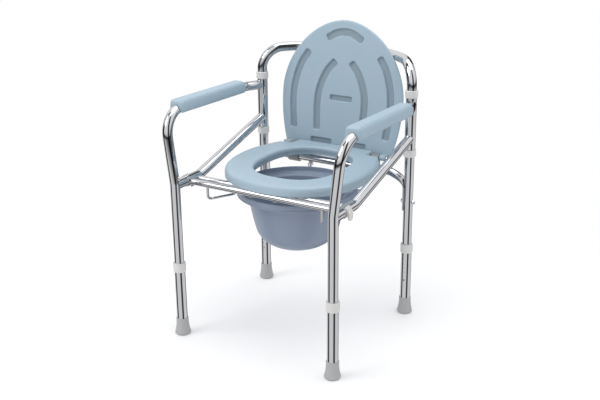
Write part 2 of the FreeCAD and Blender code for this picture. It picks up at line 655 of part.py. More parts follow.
pail_rail = rail(1).cut(bar_core[FRONT_BAR_Y])
pail_rail = max(pail_rail.Solids, key=lambda s: s.Volume)
seat_ring = seat_ring.cut(rail(1)).cut(rail(-1))
save_pair("pail_rail", pail_rail)

ring_screws = []
front_bar = bar(FRONT_BAR_Y)
inner_bar = bar(INNER_BAR_Y)
for x, y in ((FRONT_SCREW_X, FRONT_BAR_Y), (INNER_SCREW_X, INNER_BAR_Y)):
    for side in (1, -1):
        low = BAR_Z - BAR_D / 2
        screw = rod(SCREW_D, V(side * x, y, low - SCREW_HEAD_T), V(side * x, y, low + 0.6))
        shank = rod(SCREW_D / 2, V(side * x, y, low - 1), V(side * x, y, RING_LOW_Z + SCREW_BITE))
        ring_screws.append(screw.fuse(shank))
for screw in ring_screws:
    front_bar = front_bar.cut(screw)
    inner_bar = inner_bar.cut(screw)
    seat_ring = seat_ring.cut(screw)
front_bar = front_bar.cut(hook).cut(mirrored(hook))
inner_bar = inner_bar.cut(hook).cut(mirrored(hook))
save("front_bar", front_bar)
save("inner_bar", inner_bar)
save("ring_screws", *ring_screws)
save_pair("seat_hook", hook)
save("seat_ring", seat_ring)


# ---------------------------------------------------------------- lid
lid_curve = oval(LID_HALF, LID_FRONT_Y, LID_WIDE_Y, LID_BACK_Y, LID_BACK_HALF, LID_POWER, LID_LOW_Z)
lid = Part.Face(closed(lid_curve, [])).extrude(V(0, 0, LID_T))
lid = lid.makeFillet(LID_BACK_CORNER_R, [e for e in lid.Edges if e.BoundBox.ZLength > LID_T - 0.01])
lid = lid.makeFillet(LID_EDGE_R, edges_at(lid, LID_LOW_Z + LID_T))
for side in (1, -1):
    x0 = LUG_IN if side > 0 else -LUG_IN - LUG_W
    lug = Part.makeCylinder(EAR_R, LUG_W, V(x0, PIN_Y, PIN_Z), V(1, 0, 0))
    neck = box(x0, x0 + LUG_W, PIN_Y - EAR_R, PIN_Y + EAR_R, PIN_Z, LID_LOW_Z + LID_T - 3)
    arm = box(x0, x0 + LUG_W, PIN_Y - 40, PIN_Y + EAR_R, LID_LOW_Z, LID_LOW_Z + LID_T - 3)
    lid = lid.fuse(lug).fuse(neck).fuse(arm)
lid = lid.cut(rod_bore)
lid.rotate(V(0, PIN_Y, PIN_Z), V(1, 0, 0), -LID_OPEN)
save("lid", lid)


# ---------------------------------------------------------------- pail
def cup(top_r, low_r, low_z, high_z, corner):
    """A tapered round solid with a rounded bottom edge."""
    body = Part.makeCone(low_r, top_r, high_z - low_z, V(0, 0, low_z))
    return body.makeFillet(corner, edges_at(body, low_z))


slope = (PAIL_TOP_R - PAIL_LOW_R) / (FLANGE_Z - PAIL_LOW_Z)
pail = cup(PAIL_TOP_R, PAIL_LOW_R, PAIL_LOW_Z, FLANGE_Z, PAIL_CORNER_R)
rim = Part.makeCylinder(FLANGE_R, FLANGE_T, V(0, 0, FLANGE_Z))
grip = box(FLANGE_R - 40, GRIP_X, -GRIP_W / 2, GRIP_W / 2, FLANGE_Z, FLANGE_Z + FLANGE_T)
grip = grip.makeFillet(6, [e for e in grip.Edges if e.BoundBox.ZLength > FLANGE_T - 0.01])
inner_top = PAIL_TOP_R - PAIL_WALL + slope * FLANGE_T
hollow = cup(inner_top, PAIL_LOW_R - PAIL_WALL + slope * PAIL_WALL, PAIL_LOW_Z + PAIL_WALL,
             FLANGE_Z + FLANGE_T, PAIL_CORNER_R - PAIL_WALL)
lip = ring_solid(FLANGE_R, FLANGE_R - LIP_T, FLANGE_Z, LIP_H, 0, 0)
pail = pail.fuse(rim).fuse(lip).fuse(grip).fuse(mirrored(grip)).cut(hollow).removeSplitter()
pail.translate(V(0, PAIL_Y, 0))
save("pail", pail)

print("mid_y %.4f  rear %.3f front %.3f" % (MID_Y, REAR_MOST_Y, FRONT_MOST_Y))
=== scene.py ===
import json
import math

import bmesh
import bpy
import numpy as np
from bpy.props import FloatProperty, FloatVectorProperty, IntProperty, PointerProperty
from mathutils import Matrix, Vector


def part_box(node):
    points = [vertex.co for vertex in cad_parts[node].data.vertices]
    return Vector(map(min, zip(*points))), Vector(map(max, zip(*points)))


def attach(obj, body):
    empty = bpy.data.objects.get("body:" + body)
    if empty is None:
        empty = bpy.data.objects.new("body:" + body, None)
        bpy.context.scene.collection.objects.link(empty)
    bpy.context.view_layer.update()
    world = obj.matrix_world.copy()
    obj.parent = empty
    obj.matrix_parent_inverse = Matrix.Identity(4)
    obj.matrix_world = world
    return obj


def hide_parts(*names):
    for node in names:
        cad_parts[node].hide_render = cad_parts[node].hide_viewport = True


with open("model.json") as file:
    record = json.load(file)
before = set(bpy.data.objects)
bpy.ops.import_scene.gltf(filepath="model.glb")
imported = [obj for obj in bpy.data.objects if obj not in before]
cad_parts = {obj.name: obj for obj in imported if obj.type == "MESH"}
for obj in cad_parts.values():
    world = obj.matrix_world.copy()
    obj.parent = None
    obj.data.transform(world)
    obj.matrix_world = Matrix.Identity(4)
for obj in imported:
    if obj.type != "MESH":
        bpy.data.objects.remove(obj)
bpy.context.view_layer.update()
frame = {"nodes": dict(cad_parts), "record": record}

bl_info = {
    "name": "Folding Commode Chair",
    "version": (1, 0, 0),
    "blender": (4, 5, 0),
    "location": "View3D > Sidebar > Commode",
    "description": "Finishes and moulded pieces of a folding commode chair",
    "category": "Object",
}

SIDES = (("left", -1), ("right", 1))
CORNERS = ("front_left", "front_right", "rear_left", "rear_right")


# ---------------------------------------------------------------- places, from the frame
def middle(node):
    """The centre of a node's box."""
    low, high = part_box(node)
    return (low + high) / 2


FRONT_LEG = middle("lower_leg_front_right")
REAR_LEG = middle("lower_leg_rear_right")
LEG_X = REAR_LEG.x
FRONT_Y = FRONT_LEG.y
REAR_Y = REAR_LEG.y
PIN = middle("hinge_rod")
TUBE_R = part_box("back_tube")[1].x - LEG_X
OUTER_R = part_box("sleeve_right")[1].x - LEG_X
ARM_X = middle("arm_pad_right").x
RUN = 0.0001


def linear(code):
    """An sRGB hex colour as linear red, green, blue and alpha."""
    values = [int(code[k:k + 2], 16) / 255 for k in (0, 2, 4)]
    return tuple(v / 12.92 if v <= 0.04045 else ((v + 0.055) / 1.055) ** 2.4 for v in values) + (1.0,)


def length(name, description, default):
    return FloatProperty(name=name, description=description, default=default, unit="LENGTH", precision=4)


def colour(name, description, code):
    return FloatVectorProperty(name=name, description=description, subtype="COLOR", size=4,
                               min=0, max=1, default=linear(code))


# ---------------------------------------------------------------- settings
class CommodeTubes(bpy.types.PropertyGroup):
    """Bends and facets of the chromed tubes."""
    facets: IntProperty(name="Facets", description="Facets round a tube", default=40, min=12)
    rail_corner: length("Rail corner", "Bend radius where an upright turns into the back rail", 0.060)
    rail_turn: FloatProperty(name="Rail turn", description="How far the rail heads rearward from its corner",
                             default=math.radians(46), subtype="ANGLE")
    arm_front_bend: length("Arm front bend", "Bend radius from the arm down to the front leg", 0.065)
    arm_rear_bend: length("Arm rear bend", "Bend radius where the arm turns in to the sleeve", 0.045)
    knee_height: length("Knee height", "Height where the front leg starts to lean outward", 0.417)
    knee_bend: length("Knee bend", "Bend radius of the knee", 0.060)
    brace_bend: length("Brace bend", "Bend radius of the side brace", 0.045)
    cross_bend: length("Cross tube bend", "Bend radius of the rear cross tube", 0.036)
    cross_radius: length("Cross tube radius", "Outer radius of the rear cross tube", 0.011)
    saddle_skin: length("Saddle skin", "Thickness of the cross tube's flattened ends", 0.0036)
    arm_rear_height: length("Arm rear height", "Height of the arm tube at its sleeve", 0.5865)
    arm_bend_height: length("Arm bend height", "Height of the arm tube at its rear bend", 0.588)
    arm_bend_at: length("Arm bend place", "Distance of the rear bend in front of the sleeve", 0.053)
    arm_front_height: length("Arm front height", "Height of the arm tube at its front bend", 0.597)
    brace_top: length("Brace top", "Height of the brace at its sleeve", 0.497)
    brace_height: length("Brace height", "Height of the brace's level front end", 0.4115)
    brace_stub: length("Brace stub", "Length of the brace's level front end", 0.100)
    wire_radius: length("Wire radius", "Radius of the pail rail wire", 0.00325)
    wire_front: length("Wire front", "Half spacing of the wires at the front bar", 0.165)
    wire_back: length("Wire back", "Half spacing of the wires at the ring", 0.160)
    wire_lead: length("Wire lead", "Run of the wires from the front bar to the straight rails", 0.062)
    hole_pitch: length("Hole pitch", "Spacing of the leg holes", 0.01225)
    hole_radius: length("Hole radius", "Radius of the leg holes", 0.0034)
    holes: IntProperty(name="Holes", description="Number of holes in each leg", default=7, min=1)


class CommodeSeat(bpy.types.PropertyGroup):
    """Shape of the moulded ring."""
    half_width: length("Half width", "Half of the ring's widest width", 0.192)
    wide_at: length("Widest place", "Distance of the widest line in front of the hinge pin", 0.158)
    notch_half: length("Notch half width", "Half width where the sides end at the hinge tab", 0.148)
    notch_at: length("Notch place", "Distance of the notch in front of the hinge pin", 0.030)
    tab_half: length("Tab half width", "Half width of the hinge tab", 0.115)
    power: FloatProperty(name="Squareness", description="Exponent of the front curve", default=2.3, min=1.5)
    opening_half: length("Opening half width", "Half width of the opening", 0.114)
    opening_front: length("Opening front", "Front end of the opening, before the hinge pin", 0.297)
    opening_back: length("Opening back", "Rear end of the opening, before the hinge pin", 0.028)
    opening_power: FloatProperty(name="Opening squareness", description="Exponent of the opening",
                                 default=2.5, min=1.5)
    eye_width: length("Eye width", "Width of an eyebolt's eye", 0.008)
    edge: length("Edge", "Width of the rolled outer edge", 0.016)
    tab_edge: length("Tab edge", "Width of the rolled edge round the hinge tab", 0.005)
    lip: length("Lip", "Radius of the edge round the opening", 0.007)
    ledge: length("Ledge", "Height of the ledge inside the opening", 0.010)
    dish: length("Dish", "Fall of the top from its outer edge to the opening", 0.0015)
    skirt: length("Skirt", "Height of the skirt below the step line", 0.0145)
    skirt_step: length("Skirt step", "Depth of the step line", 0.0010)


class CommodeLid(bpy.types.PropertyGroup):
    """Shape of the lid and its pressed slots."""
    half_width: length("Half width", "Half of the lid's widest width", 0.184)
    base_half: length("Base half width", "Half width at the hinge edge", 0.161)
    reach: length("Reach", "From the hinge pin to the free edge", 0.348)
    wide_at: length("Widest place", "From the hinge pin to the widest line", 0.148)
    power: FloatProperty(name="Pointedness", description="Exponent of the free edge's curve", default=1.85,
                         min=1.5)
    under: length("Underside", "Distance of the underside from the hinge pin", 0.015)
    thickness: length("Thickness", "Thickness of the lid", 0.008)
    open: FloatProperty(name="Open", description="How far the lid leans open", default=math.radians(97.7),
                        subtype="ANGLE")
    lug_in: length("Lug place", "Inner face of a hinge lug", 0.139)
    lug_width: length("Lug width", "Width of a hinge lug", 0.017)
    slot_half: length("Slot half width", "Half width of a pressed slot", 0.0104)
    slot_depth: length("Slot depth", "Depth of a pressed slot", 0.0060)


class CommodePail(bpy.types.PropertyGroup):
    """Shape of the pail."""
    top_radius: length("Top radius", "Outer radius under the rim", 0.127)
    low_radius: length("Low radius", "Outer radius at the bottom", 0.094)
    corner: length("Corner", "Radius of the bottom edge", 0.046)
    wall: length("Wall", "Wall of the pail", 0.0025)
    rim_thickness: length("Rim", "Thickness of the rim", 0.004)
    grip_half: length("Grip half width", "Half width of a grip", 0.020)
    lip: length("Lip", "Height of the rim's upturned edge", 0.014)
    lip_wall: length("Lip wall", "Wall of the rim's upturned edge", 0.003)


class CommodePads(bpy.types.PropertyGroup):
    """Shape of the arm pads."""
    height: length("Height", "Height of a pad", 0.0333)
    rise: length("Rise", "Height of the pad's centre over the tube's", 0.0057)
    end_round: length("End round", "Radius of the pad's ends", 0.009)
    squareness: FloatProperty(name="Squareness", description="Exponent of the section", default=4.2, min=2)
    draft: FloatProperty(name="Draft", description="Share by which the top is narrower", default=0.12, min=0)


class CommodeFinish(bpy.types.PropertyGroup):
    """Colours of the finishes."""
    chrome: colour("Chrome", "Polished chrome plate", "D2D3D6")
    seat: colour("Seat plastic", "Pale blue-grey moulded polypropylene", "9BAFBC")
    pail: colour("Pail plastic", "Slate-blue moulded polypropylene", "808C9F")
    collar: colour("Collar plastic", "Light grey moulded nylon", "D0CFCD")
    clamp: colour("Clamp plastic", "Mid grey moulded nylon", "868887")
    rubber: colour("Foot rubber", "Grey moulded rubber", "A9A9A9")
    zinc: colour("Zinc", "Bright zinc plate", "B9BAB8")
    floor: colour("Floor", "Pale studio floor", "F4F4F4")


class CommodeStudio(bpy.types.PropertyGroup):
    """Camera and lights."""
    lens: FloatProperty(name="Lens", description="Focal length", default=57.06, unit="CAMERA")
    pitch: FloatProperty(name="Pitch", description="How far the camera looks down", subtype="ANGLE",
                         default=math.radians(20.22))
    turn: FloatProperty(name="Turn", description="How far round to the right the camera stands",
                        subtype="ANGLE", default=math.radians(31.22))
    roll: FloatProperty(name="Roll", description="Camera roll", subtype="ANGLE", default=math.radians(-0.48))
    place: FloatVectorProperty(name="Place", description="Camera position", subtype="TRANSLATION",
                               default=(1.2025, -2.0152, 1.1963))
    key_power: FloatProperty(name="Key power", description="Main softbox", default=34.0, unit="POWER")
    fill_power: FloatProperty(name="Fill power", description="Overhead softbox", default=30.0, unit="POWER")


# ---------------------------------------------------------------- finishes
MATERIAL_NAMES = {
    "chrome": "polished_chrome_plate",
    "seat_plastic": "moulded_polypropylene_pale_blue",
    "pail_plastic": "moulded_polypropylene_slate",
    "collar_plastic": "moulded_nylon_light_grey",
    "hinge_plastic": "moulded_nylon_mid_grey",
    "foot_rubber": "moulded_grey_rubber",
    "button_steel": "bright_zinc_plate",
    "screw_steel": "bright_zinc_plate",
}


def add(tree, kind, inputs=None, **settings):
    """Add a node, with its settings and its inputs. An input given a socket is linked to it."""
    node = tree.nodes.new(kind)
    for name, value in settings.items():
        setattr(node, name, value)
    for key, value in (inputs or {}).items():
        if isinstance(value, bpy.types.NodeSocket):
            tree.links.new(value, node.inputs[key])
        else:
            node.inputs[key].default_value = value
    return node


def material(name):
    """A new material with a Principled shader, ready for its nodes."""
    made = bpy.data.materials.new(name)
    made.use_nodes = True
    tree = made.node_tree
    shader = tree.nodes["Principled BSDF"]
    place = add(tree, "ShaderNodeTexCoord").outputs["Object"]
    return made, tree, shader, place


def wander(tree, shader, place, size, detail, base, change, smooth, rough):
    """Patches about size metres across, where tone and gloss drift together."""
    patch = add(tree, "ShaderNodeTexNoise", {"Vector": place, "Scale": 1 / size, "Detail": detail})
    dark = tuple(c * (1 - change) for c in base[:3]) + (1.0,)
    light = tuple(min(1.0, c * (1 + change)) for c in base[:3]) + (1.0,)
    tone = add(tree, "ShaderNodeMix", {"Factor": patch.outputs["Fac"], "A": dark, "B": light},
               data_type="RGBA")
    tree.links.new(tone.outputs["Result"], shader.inputs["Base Color"])
    gloss = add(tree, "ShaderNodeMapRange", {"Value": patch.outputs["Fac"], "From Min": 0.3, "From Max": 0.7,
                                             "To Min": smooth, "To Max": rough})
    tree.links.new(gloss.outputs["Result"], shader.inputs["Roughness"])


def make_chrome(finish):
    """Chrome plate on polished steel tube: a clean mirror with bright and dark lines along it.

    Its tone and gloss drift over patches of 45 mm, as handling leaves them."""
    made, tree, shader, place = material(MATERIAL_NAMES["chrome"])
    shader.inputs["Metallic"].default_value = 1.0
    wander(tree, shader, place, 0.045, 3.0, finish.chrome, 0.03, 0.03, 0.06)
    return made


def moulded(slot, base, rough, change=0.02, texture=0.0011, strength=0.10, ior=1.49):
    """Injection-moulded plastic: even colour and slightly uneven gloss over patches of 60 mm.

    Its spark-eroded grain is finer than the view shows, so it is drawn about 1 mm coarse."""
    made, tree, shader, place = material(MATERIAL_NAMES[slot])
    wander(tree, shader, place, 0.06, 3.0, base, change, rough - 0.04, rough + 0.05)
    shader.inputs["IOR"].default_value = ior
    grain = add(tree, "ShaderNodeTexNoise", {"Vector": place, "Scale": 1 / texture, "Detail": 2.0})
    relief = add(tree, "ShaderNodeBump", {"Height": grain.outputs["Fac"], "Distance": 0.00012,
                                          "Strength": strength})
    tree.links.new(relief.outputs["Normal"], shader.inputs["Normal"])
    return made


def paint_shade_in_recesses(made, share):
    """Painted shade: darken the base colour where the recess attribute marks the pressed slots, most on their
    deepest floors.
    """
    tree = made.node_tree
    shader = tree.nodes["Principled BSDF"]
    base = shader.inputs["Base Color"].links[0].from_socket
    recess = add(tree, "ShaderNodeAttribute", attribute_name="recess").outputs["Fac"]
    # painted shade: the colour falls from its full value to share as the slot deepens
    kept = add(tree, "ShaderNodeMapRange", {"Value": recess, "To Min": 1.0, "To Max": share})
    shaded = add(tree, "ShaderNodeVectorMath", {0: base, "Scale": kept.outputs["Result"]}, operation="SCALE")
    tree.links.new(shaded.outputs["Vector"], shader.inputs["Base Color"])


def make_zinc(finish):
    """Zinc-plated steel buttons and screws: bright metal speckled by crystals drawn 1.5 mm coarse."""
    made, tree, shader, place = material(MATERIAL_NAMES["screw_steel"])
    shader.inputs["Metallic"].default_value = 1.0
    wander(tree, shader, place, 0.0015, 2.0, finish.zinc, 0.06, 0.22, 0.36)
    return made


def finish_of(slot):
    return bpy.data.materials[MATERIAL_NAMES[slot]]


# ---------------------------------------------------------------- mesh helpers
def mesh_object(name, verts, faces):
    """A mesh object at the origin, its faces pointing outwards."""
    mesh = bpy.data.meshes.new(name)
    mesh.from_pydata([tuple(v) for v in verts], [], faces)
    work = bmesh.new()
    work.from_mesh(mesh)
    bmesh.ops.remove_doubles(work, verts=work.verts, dist=1e-6)
    bmesh.ops.recalc_face_normals(work, faces=work.faces)
    for face in work.faces:
        face.smooth = True
    work.to_mesh(mesh)
    work.free()
    made = bpy.data.objects.new(name, mesh)
    bpy.context.scene.collection.objects.link(made)
    return made


def sharpen(obj, angle=40):
    """Split the shading at edges steeper than the angle."""
    work = bmesh.new()
    work.from_mesh(obj.data)
    for edge in work.edges:
        edge.smooth = edge.is_manifold and edge.calc_face_angle(0.0) < math.radians(angle)
    work.to_mesh(obj.data)
    work.free()


def settle(obj, body, nodes, slot):
    """Give a finished piece its finish, its body and the nodes it stands for."""
    obj.data.materials.clear()
    obj.data.materials.append(finish_of(slot))
    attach(obj, body)
    if nodes:
        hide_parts(*nodes)
    return obj


def plain(obj):
    """Turn an object with modifiers into a plain mesh."""
    graph = bpy.context.evaluated_depsgraph_get()
    mesh = bpy.data.meshes.new_from_object(obj.evaluated_get(graph))
    obj.modifiers.clear()
    obj.data = mesh
    return obj


def join(name, parts):
    """Join meshes into one object."""
    work = bmesh.new()
    for part in parts:
        work.from_mesh(part.data)
        bpy.data.objects.remove(part)
    mesh = bpy.data.meshes.new(name)
    work.to_mesh(mesh)
    work.free()
    made = bpy.data.objects.new(name, mesh)
    bpy.context.scene.collection.objects.link(made)
    return made


def revolve(name, profile, centre, steps=64):
    """A turned piece: profile is (radius, height) pairs, from one end of the axis to the other."""
    verts = []
    faces = []
    count = len(profile)
    for k in range(steps):
        a = 2 * math.pi * k / steps
        for r, z in profile:
            verts.append((centre[0] + r * math.cos(a), centre[1] + r * math.sin(a), centre[2] + z))
    for k in range(steps):
        for j in range(count - 1):
            a = k * count + j
            b = (k + 1) % steps * count + j
            faces.append((a, b, b + 1, a + 1))
    return mesh_object(name, verts, faces)


def rounded(points, radii, step=math.radians(6)):
    """A polyline whose corners are arcs. Points with radius 0 stay as they are."""
    made = [points[0]]
    for i in range(1, len(points) - 1):
        r = radii[i - 1]
        corner = points[i]
        if r == 0:
            made.append(corner)
            continue
        back = (points[i - 1] - corner).normalized()
        ahead = (points[i + 1] - corner).normalized()
        half = back.angle(ahead) / 2
        reach = r / math.tan(half)
        centre = corner + (back + ahead).normalized() * (r / math.sin(half))
        start = corner + back * reach - centre
        end = corner + ahead * reach - centre
        turn = math.pi - 2 * half
        count = max(2, math.ceil(turn / step))
        for k in range(count + 1):
            t = turn * k / count
            made.append(centre + (start * math.sin(turn - t) + end * math.sin(t)) / math.sin(turn))
    made.append(points[-1])
    return made


def loft(name, rings, closed=False, caps=True):
    """A skin through rings that have the same number of points."""
    verts = [p for ring in rings for p in ring]
    n = len(rings[0])
    faces = []
    count = len(rings)
    for i in range(count if closed else count - 1):
        for j in range(n):
            a = i * n + j
            b = i * n + (j + 1) % n
            c = (i + 1) % count * n + (j + 1) % n
            d = (i + 1) % count * n + j
            faces.append((a, b, c, d))
    if caps and not closed:
        faces.append(tuple(range(n)))
        faces.append(tuple(range((count - 1) * n, count * n)))
    return mesh_object(name, verts, faces)


def even(points, count):
    """Evenly spaced points round a closed outline."""
    loop = np.array([tuple(p) for p in points] + [tuple(points[0])])
    steps = np.linalg.norm(np.diff(loop, axis=0), axis=1)
    along = np.concatenate([[0.0], np.cumsum(steps)])
    marks = np.linspace(0, along[-1], count, endpoint=False)
    return np.stack([np.interp(marks, along, loop[:, k]) for k in range(loop.shape[1])], axis=1)


# ---------------------------------------------------------------- tubes
def tube_tree():
    """Geometry Nodes: a round tube along a path of edges."""
    tree = bpy.data.node_groups.new("TubeAlongPath", "GeometryNodeTree")
    face = tree.interface
    face.new_socket("Geometry", in_out="INPUT", socket_type="NodeSocketGeometry")
    face.new_socket("Radius", in_out="INPUT", socket_type="NodeSocketFloat")
    face.new_socket("Facets", in_out="INPUT", socket_type="NodeSocketInt")
    face.new_socket("Material", in_out="INPUT", socket_type="NodeSocketMaterial")
    face.new_socket("Geometry", in_out="OUTPUT", socket_type="NodeSocketGeometry")
    given = add(tree, "NodeGroupInput")
    line = add(tree, "GeometryNodeMeshToCurve", {"Mesh": given.outputs["Geometry"]})
    ring = add(tree, "GeometryNodeCurvePrimitiveCircle",
               {"Radius": given.outputs["Radius"], "Resolution": given.outputs["Facets"]})
    skin = add(tree, "GeometryNodeCurveToMesh",
               {"Curve": line.outputs["Curve"], "Profile Curve": ring.outputs["Curve"], "Fill Caps": True})
    soft = add(tree, "GeometryNodeSetShadeSmooth", {"Geometry": skin.outputs["Mesh"]})
    real = add(tree, "GeometryNodeRealizeInstances", {"Geometry": soft.outputs["Geometry"]})
    painted = add(tree, "GeometryNodeSetMaterial",
                  {"Geometry": real.outputs["Geometry"], "Material": given.outputs["Material"]})
    add(tree, "NodeGroupOutput", {"Geometry": painted.outputs["Geometry"]})
    return tree


def set_inputs(modifier, values):
    """Set a Geometry Nodes modifier's inputs by the sockets' identifiers."""
    for item in modifier.node_group.interface.items_tree:
        if item.item_type == "SOCKET" and item.in_out == "INPUT" and item.name in values:
            modifier[item.identifier] = values[item.name]


def tube(name, points, radius, slot="chrome"):
    """A tube along a path, made by the Geometry Nodes tree."""
    tree = bpy.data.node_groups.get("TubeAlongPath") or tube_tree()
    mesh = bpy.data.meshes.new(name)
    mesh.from_pydata([tuple(p) for p in points], [(k, k + 1) for k in range(len(points) - 1)], [])
    made = bpy.data.objects.new(name, mesh)
    bpy.context.scene.collection.objects.link(made)
    modifier = made.modifiers.new("Tube", "NODES")
    modifier.node_group = tree
    facets = bpy.context.scene.commode_tubes.facets
    set_inputs(modifier, {"Radius": radius, "Facets": facets, "Material": finish_of(slot)})
    plain(made)
    work = bmesh.new()
    work.from_mesh(made.data)
    bmesh.ops.recalc_face_normals(work, faces=work.faces)
    for edge in work.edges:
        edge.smooth = edge.calc_face_angle(0.0) < math.radians(50)
    work.to_mesh(made.data)
    work.free()
    return made


def bow(count=48):
    """The back rail's path, with both uprights."""
    tubes = bpy.context.scene.commode_tubes
    low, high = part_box("back_tube")
    rail_z = high.z - TUBE_R
    r = tubes.rail_corner
    turn = tubes.rail_turn
    end_x = LEG_X - r * math.cos(turn)
    end_y = REAR_Y + r * math.sin(turn)
    bow_r = end_x / math.sin(turn)
    centre_y = end_y - bow_r * math.cos(turn)
    points = [Vector((LEG_X, REAR_Y, low.z))]
    for k in range(17):
        a = math.radians(90 * k / 16)
        out = r * (1 - math.cos(a))
        points.append(Vector((LEG_X - out * math.cos(turn), REAR_Y + out * math.sin(turn),
                              rail_z - r + r * math.sin(a))))
    for k in range(1, count):
        a = turn - 2 * turn * k / count
        points.append(Vector((bow_r * math.sin(a), centre_y + bow_r * math.cos(a), rail_z)))
    mirror = [Vector((-p.x, p.y, p.z)) for p in reversed(points[:18])]
    return points + mirror


# ---------------------------------------------------------------- pieces: plain finishes
class COMMODE_OT_finishes(bpy.types.Operator):
    """Make the finishes and give each node of the frame its own"""
    bl_idname = "commode.finishes"
    bl_label = "Finishes"

    def execute(self, context):
        finish = context.scene.commode_finish
        make_chrome(finish)
        # the seat plastic gets painted shade in the lid's pressed slots, down to 0.72 of its colour
        paint_shade_in_recesses(moulded("seat_plastic", finish.seat, 0.42), 0.72)
        moulded("pail_plastic", finish.pail, 0.34)
        moulded("collar_plastic", finish.collar, 0.45)
        moulded("hinge_plastic", finish.clamp, 0.46)
        # rubber is duller than the plastics, with a dusty mottle
        moulded("foot_rubber", finish.rubber, 0.72, change=0.05, texture=0.0009, strength=0.25, ior=1.52)
        make_zinc(finish)
        for part in frame["record"]["subparts"]:
            node = frame["nodes"][part["node"]]
            node.data.materials.clear()
            node.data.materials.append(finish_of(part["material_slot"]))
        return {"FINISHED"}


# ---------------------------------------------------------------- chromed tubes
def arm_path(side):
    """Sleeve, arm, front bend, knee and down to the end of the inner tube."""
    tubes = bpy.context.scene.commode_tubes
    low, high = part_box("arm_tube_right")
    points = [Vector((LEG_X, REAR_Y, tubes.arm_rear_height)),
              Vector((ARM_X, REAR_Y - tubes.arm_bend_at, tubes.arm_bend_height)),
              Vector((ARM_X, FRONT_Y, tubes.arm_front_height)),
              Vector((LEG_X, FRONT_Y, tubes.knee_height)), Vector((LEG_X, FRONT_Y, low.z))]
    path = rounded(points, [tubes.arm_rear_bend, tubes.arm_front_bend, tubes.knee_bend], math.radians(4))
    return [Vector((side * p.x, p.y, p.z)) for p in path]


def straight(start, end):
    return [Vector(start), Vector(end)]


class COMMODE_OT_back_tube(bpy.types.Operator):
    """Bent back tube: two uprights and the bowed rail"""
    bl_idname = "commode.back_tube"
    bl_label = "Back tube"

    def execute(self, context):
        settle(tube("back_tube_piece", bow(), TUBE_R), "back_frame", ["back_tube"], "chrome")
        return {"FINISHED"}


class COMMODE_OT_cross_tube(bpy.types.Operator):
    """Rear cross tube, its ends pressed flat into saddles round the uprights"""
    bl_idname = "commode.cross_tube"
    bl_label = "Cross tube"

    def execute(self, context):
        tubes = context.scene.commode_tubes
        low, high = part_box("rear_cross_tube")
        r = tubes.cross_radius
        x = LEG_X - TUBE_R - 0.0003 - r
        z = high.z - r
        bend = tubes.cross_bend
        turn_x = x - bend
        turn_z = z - bend
        runs = 12
        turns = 24
        flat_from = 0.25
        lead = 0.002
        right = [press(tubes, turn_x * k / runs, z, 0.0, 0.0) for k in range(0, runs + 1)]
        for k in range(1, turns + 1):
            a = math.pi / 2 * k / turns
            share = smooth_step((k / turns - flat_from) / (1 - flat_from))
            right.append(press(tubes, turn_x + bend * math.sin(a), turn_z + bend * math.cos(a), a, share))
        top = turn_z - 2 * lead
        heights = [turn_z - lead, top] + [top - (top - low.z) * k / runs for k in range(1, runs + 1)]
        right += [press(tubes, x, height, math.pi / 2, 1.0) for height in heights]
        left = [[Vector((-p.x, p.y, p.z)) for p in ring] for ring in reversed(right[1:])]
        piece = loft("rear_cross_tube_piece", left + right)
        sharpen(piece, 50)
        settle(piece, "back_frame", ["rear_cross_tube"], "chrome")
        return {"FINISHED"}


def press(tubes, x, z, heading, share, count=48):
    """A section of the cross tube: round where share is 0, a shell round the upright where it is 1."""
    r = tubes.cross_radius
    out = Vector((math.sin(heading), 0, math.cos(heading)))
    middle_r = TUBE_R + 0.0002 + tubes.saddle_skin / 2
    grip = math.radians(58)
    full_sides = 0.7
    full_faces = 0.5
    section = []
    for k in range(count):
        a = 2 * math.pi * k / count
        c, s = math.cos(a), math.sin(a)
        lift = out * (r * c)
        tube_point = Vector((x, REAR_Y, z)) + lift + Vector((0, r * s, 0))
        turn = grip * math.copysign(min(1.0, abs(s) ** full_sides), s)
        reach = middle_r - tubes.saddle_skin / 2 * math.copysign(abs(c) ** full_faces, c)
        shell_point = Vector((LEG_X - reach * math.cos(turn), REAR_Y + reach * math.sin(turn), z))
        if heading < math.pi / 2:
            shell_point.z += lift.z
        section.append(tube_point.lerp(shell_point, share))
    return section


class COMMODE_OT_side_frames(bpy.types.Operator):
    """Arm tubes, braces and the sleeves they are welded to"""
    bl_idname = "commode.side_frames"
    bl_label = "Side frames"

    def execute(self, context):
        tubes = context.scene.commode_tubes
        for name, side in SIDES:
            body = "side_frame_" + name
            arm = tube("arm_tube_%s_piece" % name, arm_path(side), TUBE_R)
            settle(arm, body, ["arm_tube_" + name], "chrome")
            x = side * LEG_X
            low_z = tubes.brace_height
            corners = [Vector((x, REAR_Y, tubes.brace_top)), Vector((x, FRONT_Y + tubes.brace_stub, low_z)),
                       Vector((x, FRONT_Y, low_z))]
            path = rounded(corners, [tubes.brace_bend], math.radians(3))
            settle(tube("brace_%s_piece" % name, path, TUBE_R), body, ["brace_" + name], "chrome")
            low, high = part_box("sleeve_" + name)
            sleeve = ring_tube("sleeve_%s_piece" % name, (x, REAR_Y), OUTER_R, TUBE_R + RUN, low.z, high.z)
            settle(sleeve, body, ["sleeve_" + name], "chrome")
        return {"FINISHED"}


def ring_tube(name, place, outer, inner, low, high, edge=0.0004, steps=64):
    """An upright piece of tube with eased ends."""
    profile = [(inner, low), (outer - edge, low), (outer, low + edge), (outer, high - edge),
               (outer - edge, high), (inner, high), (inner, low)]
    made = revolve(name, profile, (place[0], place[1], 0), steps)
    sharpen(made)
    return made


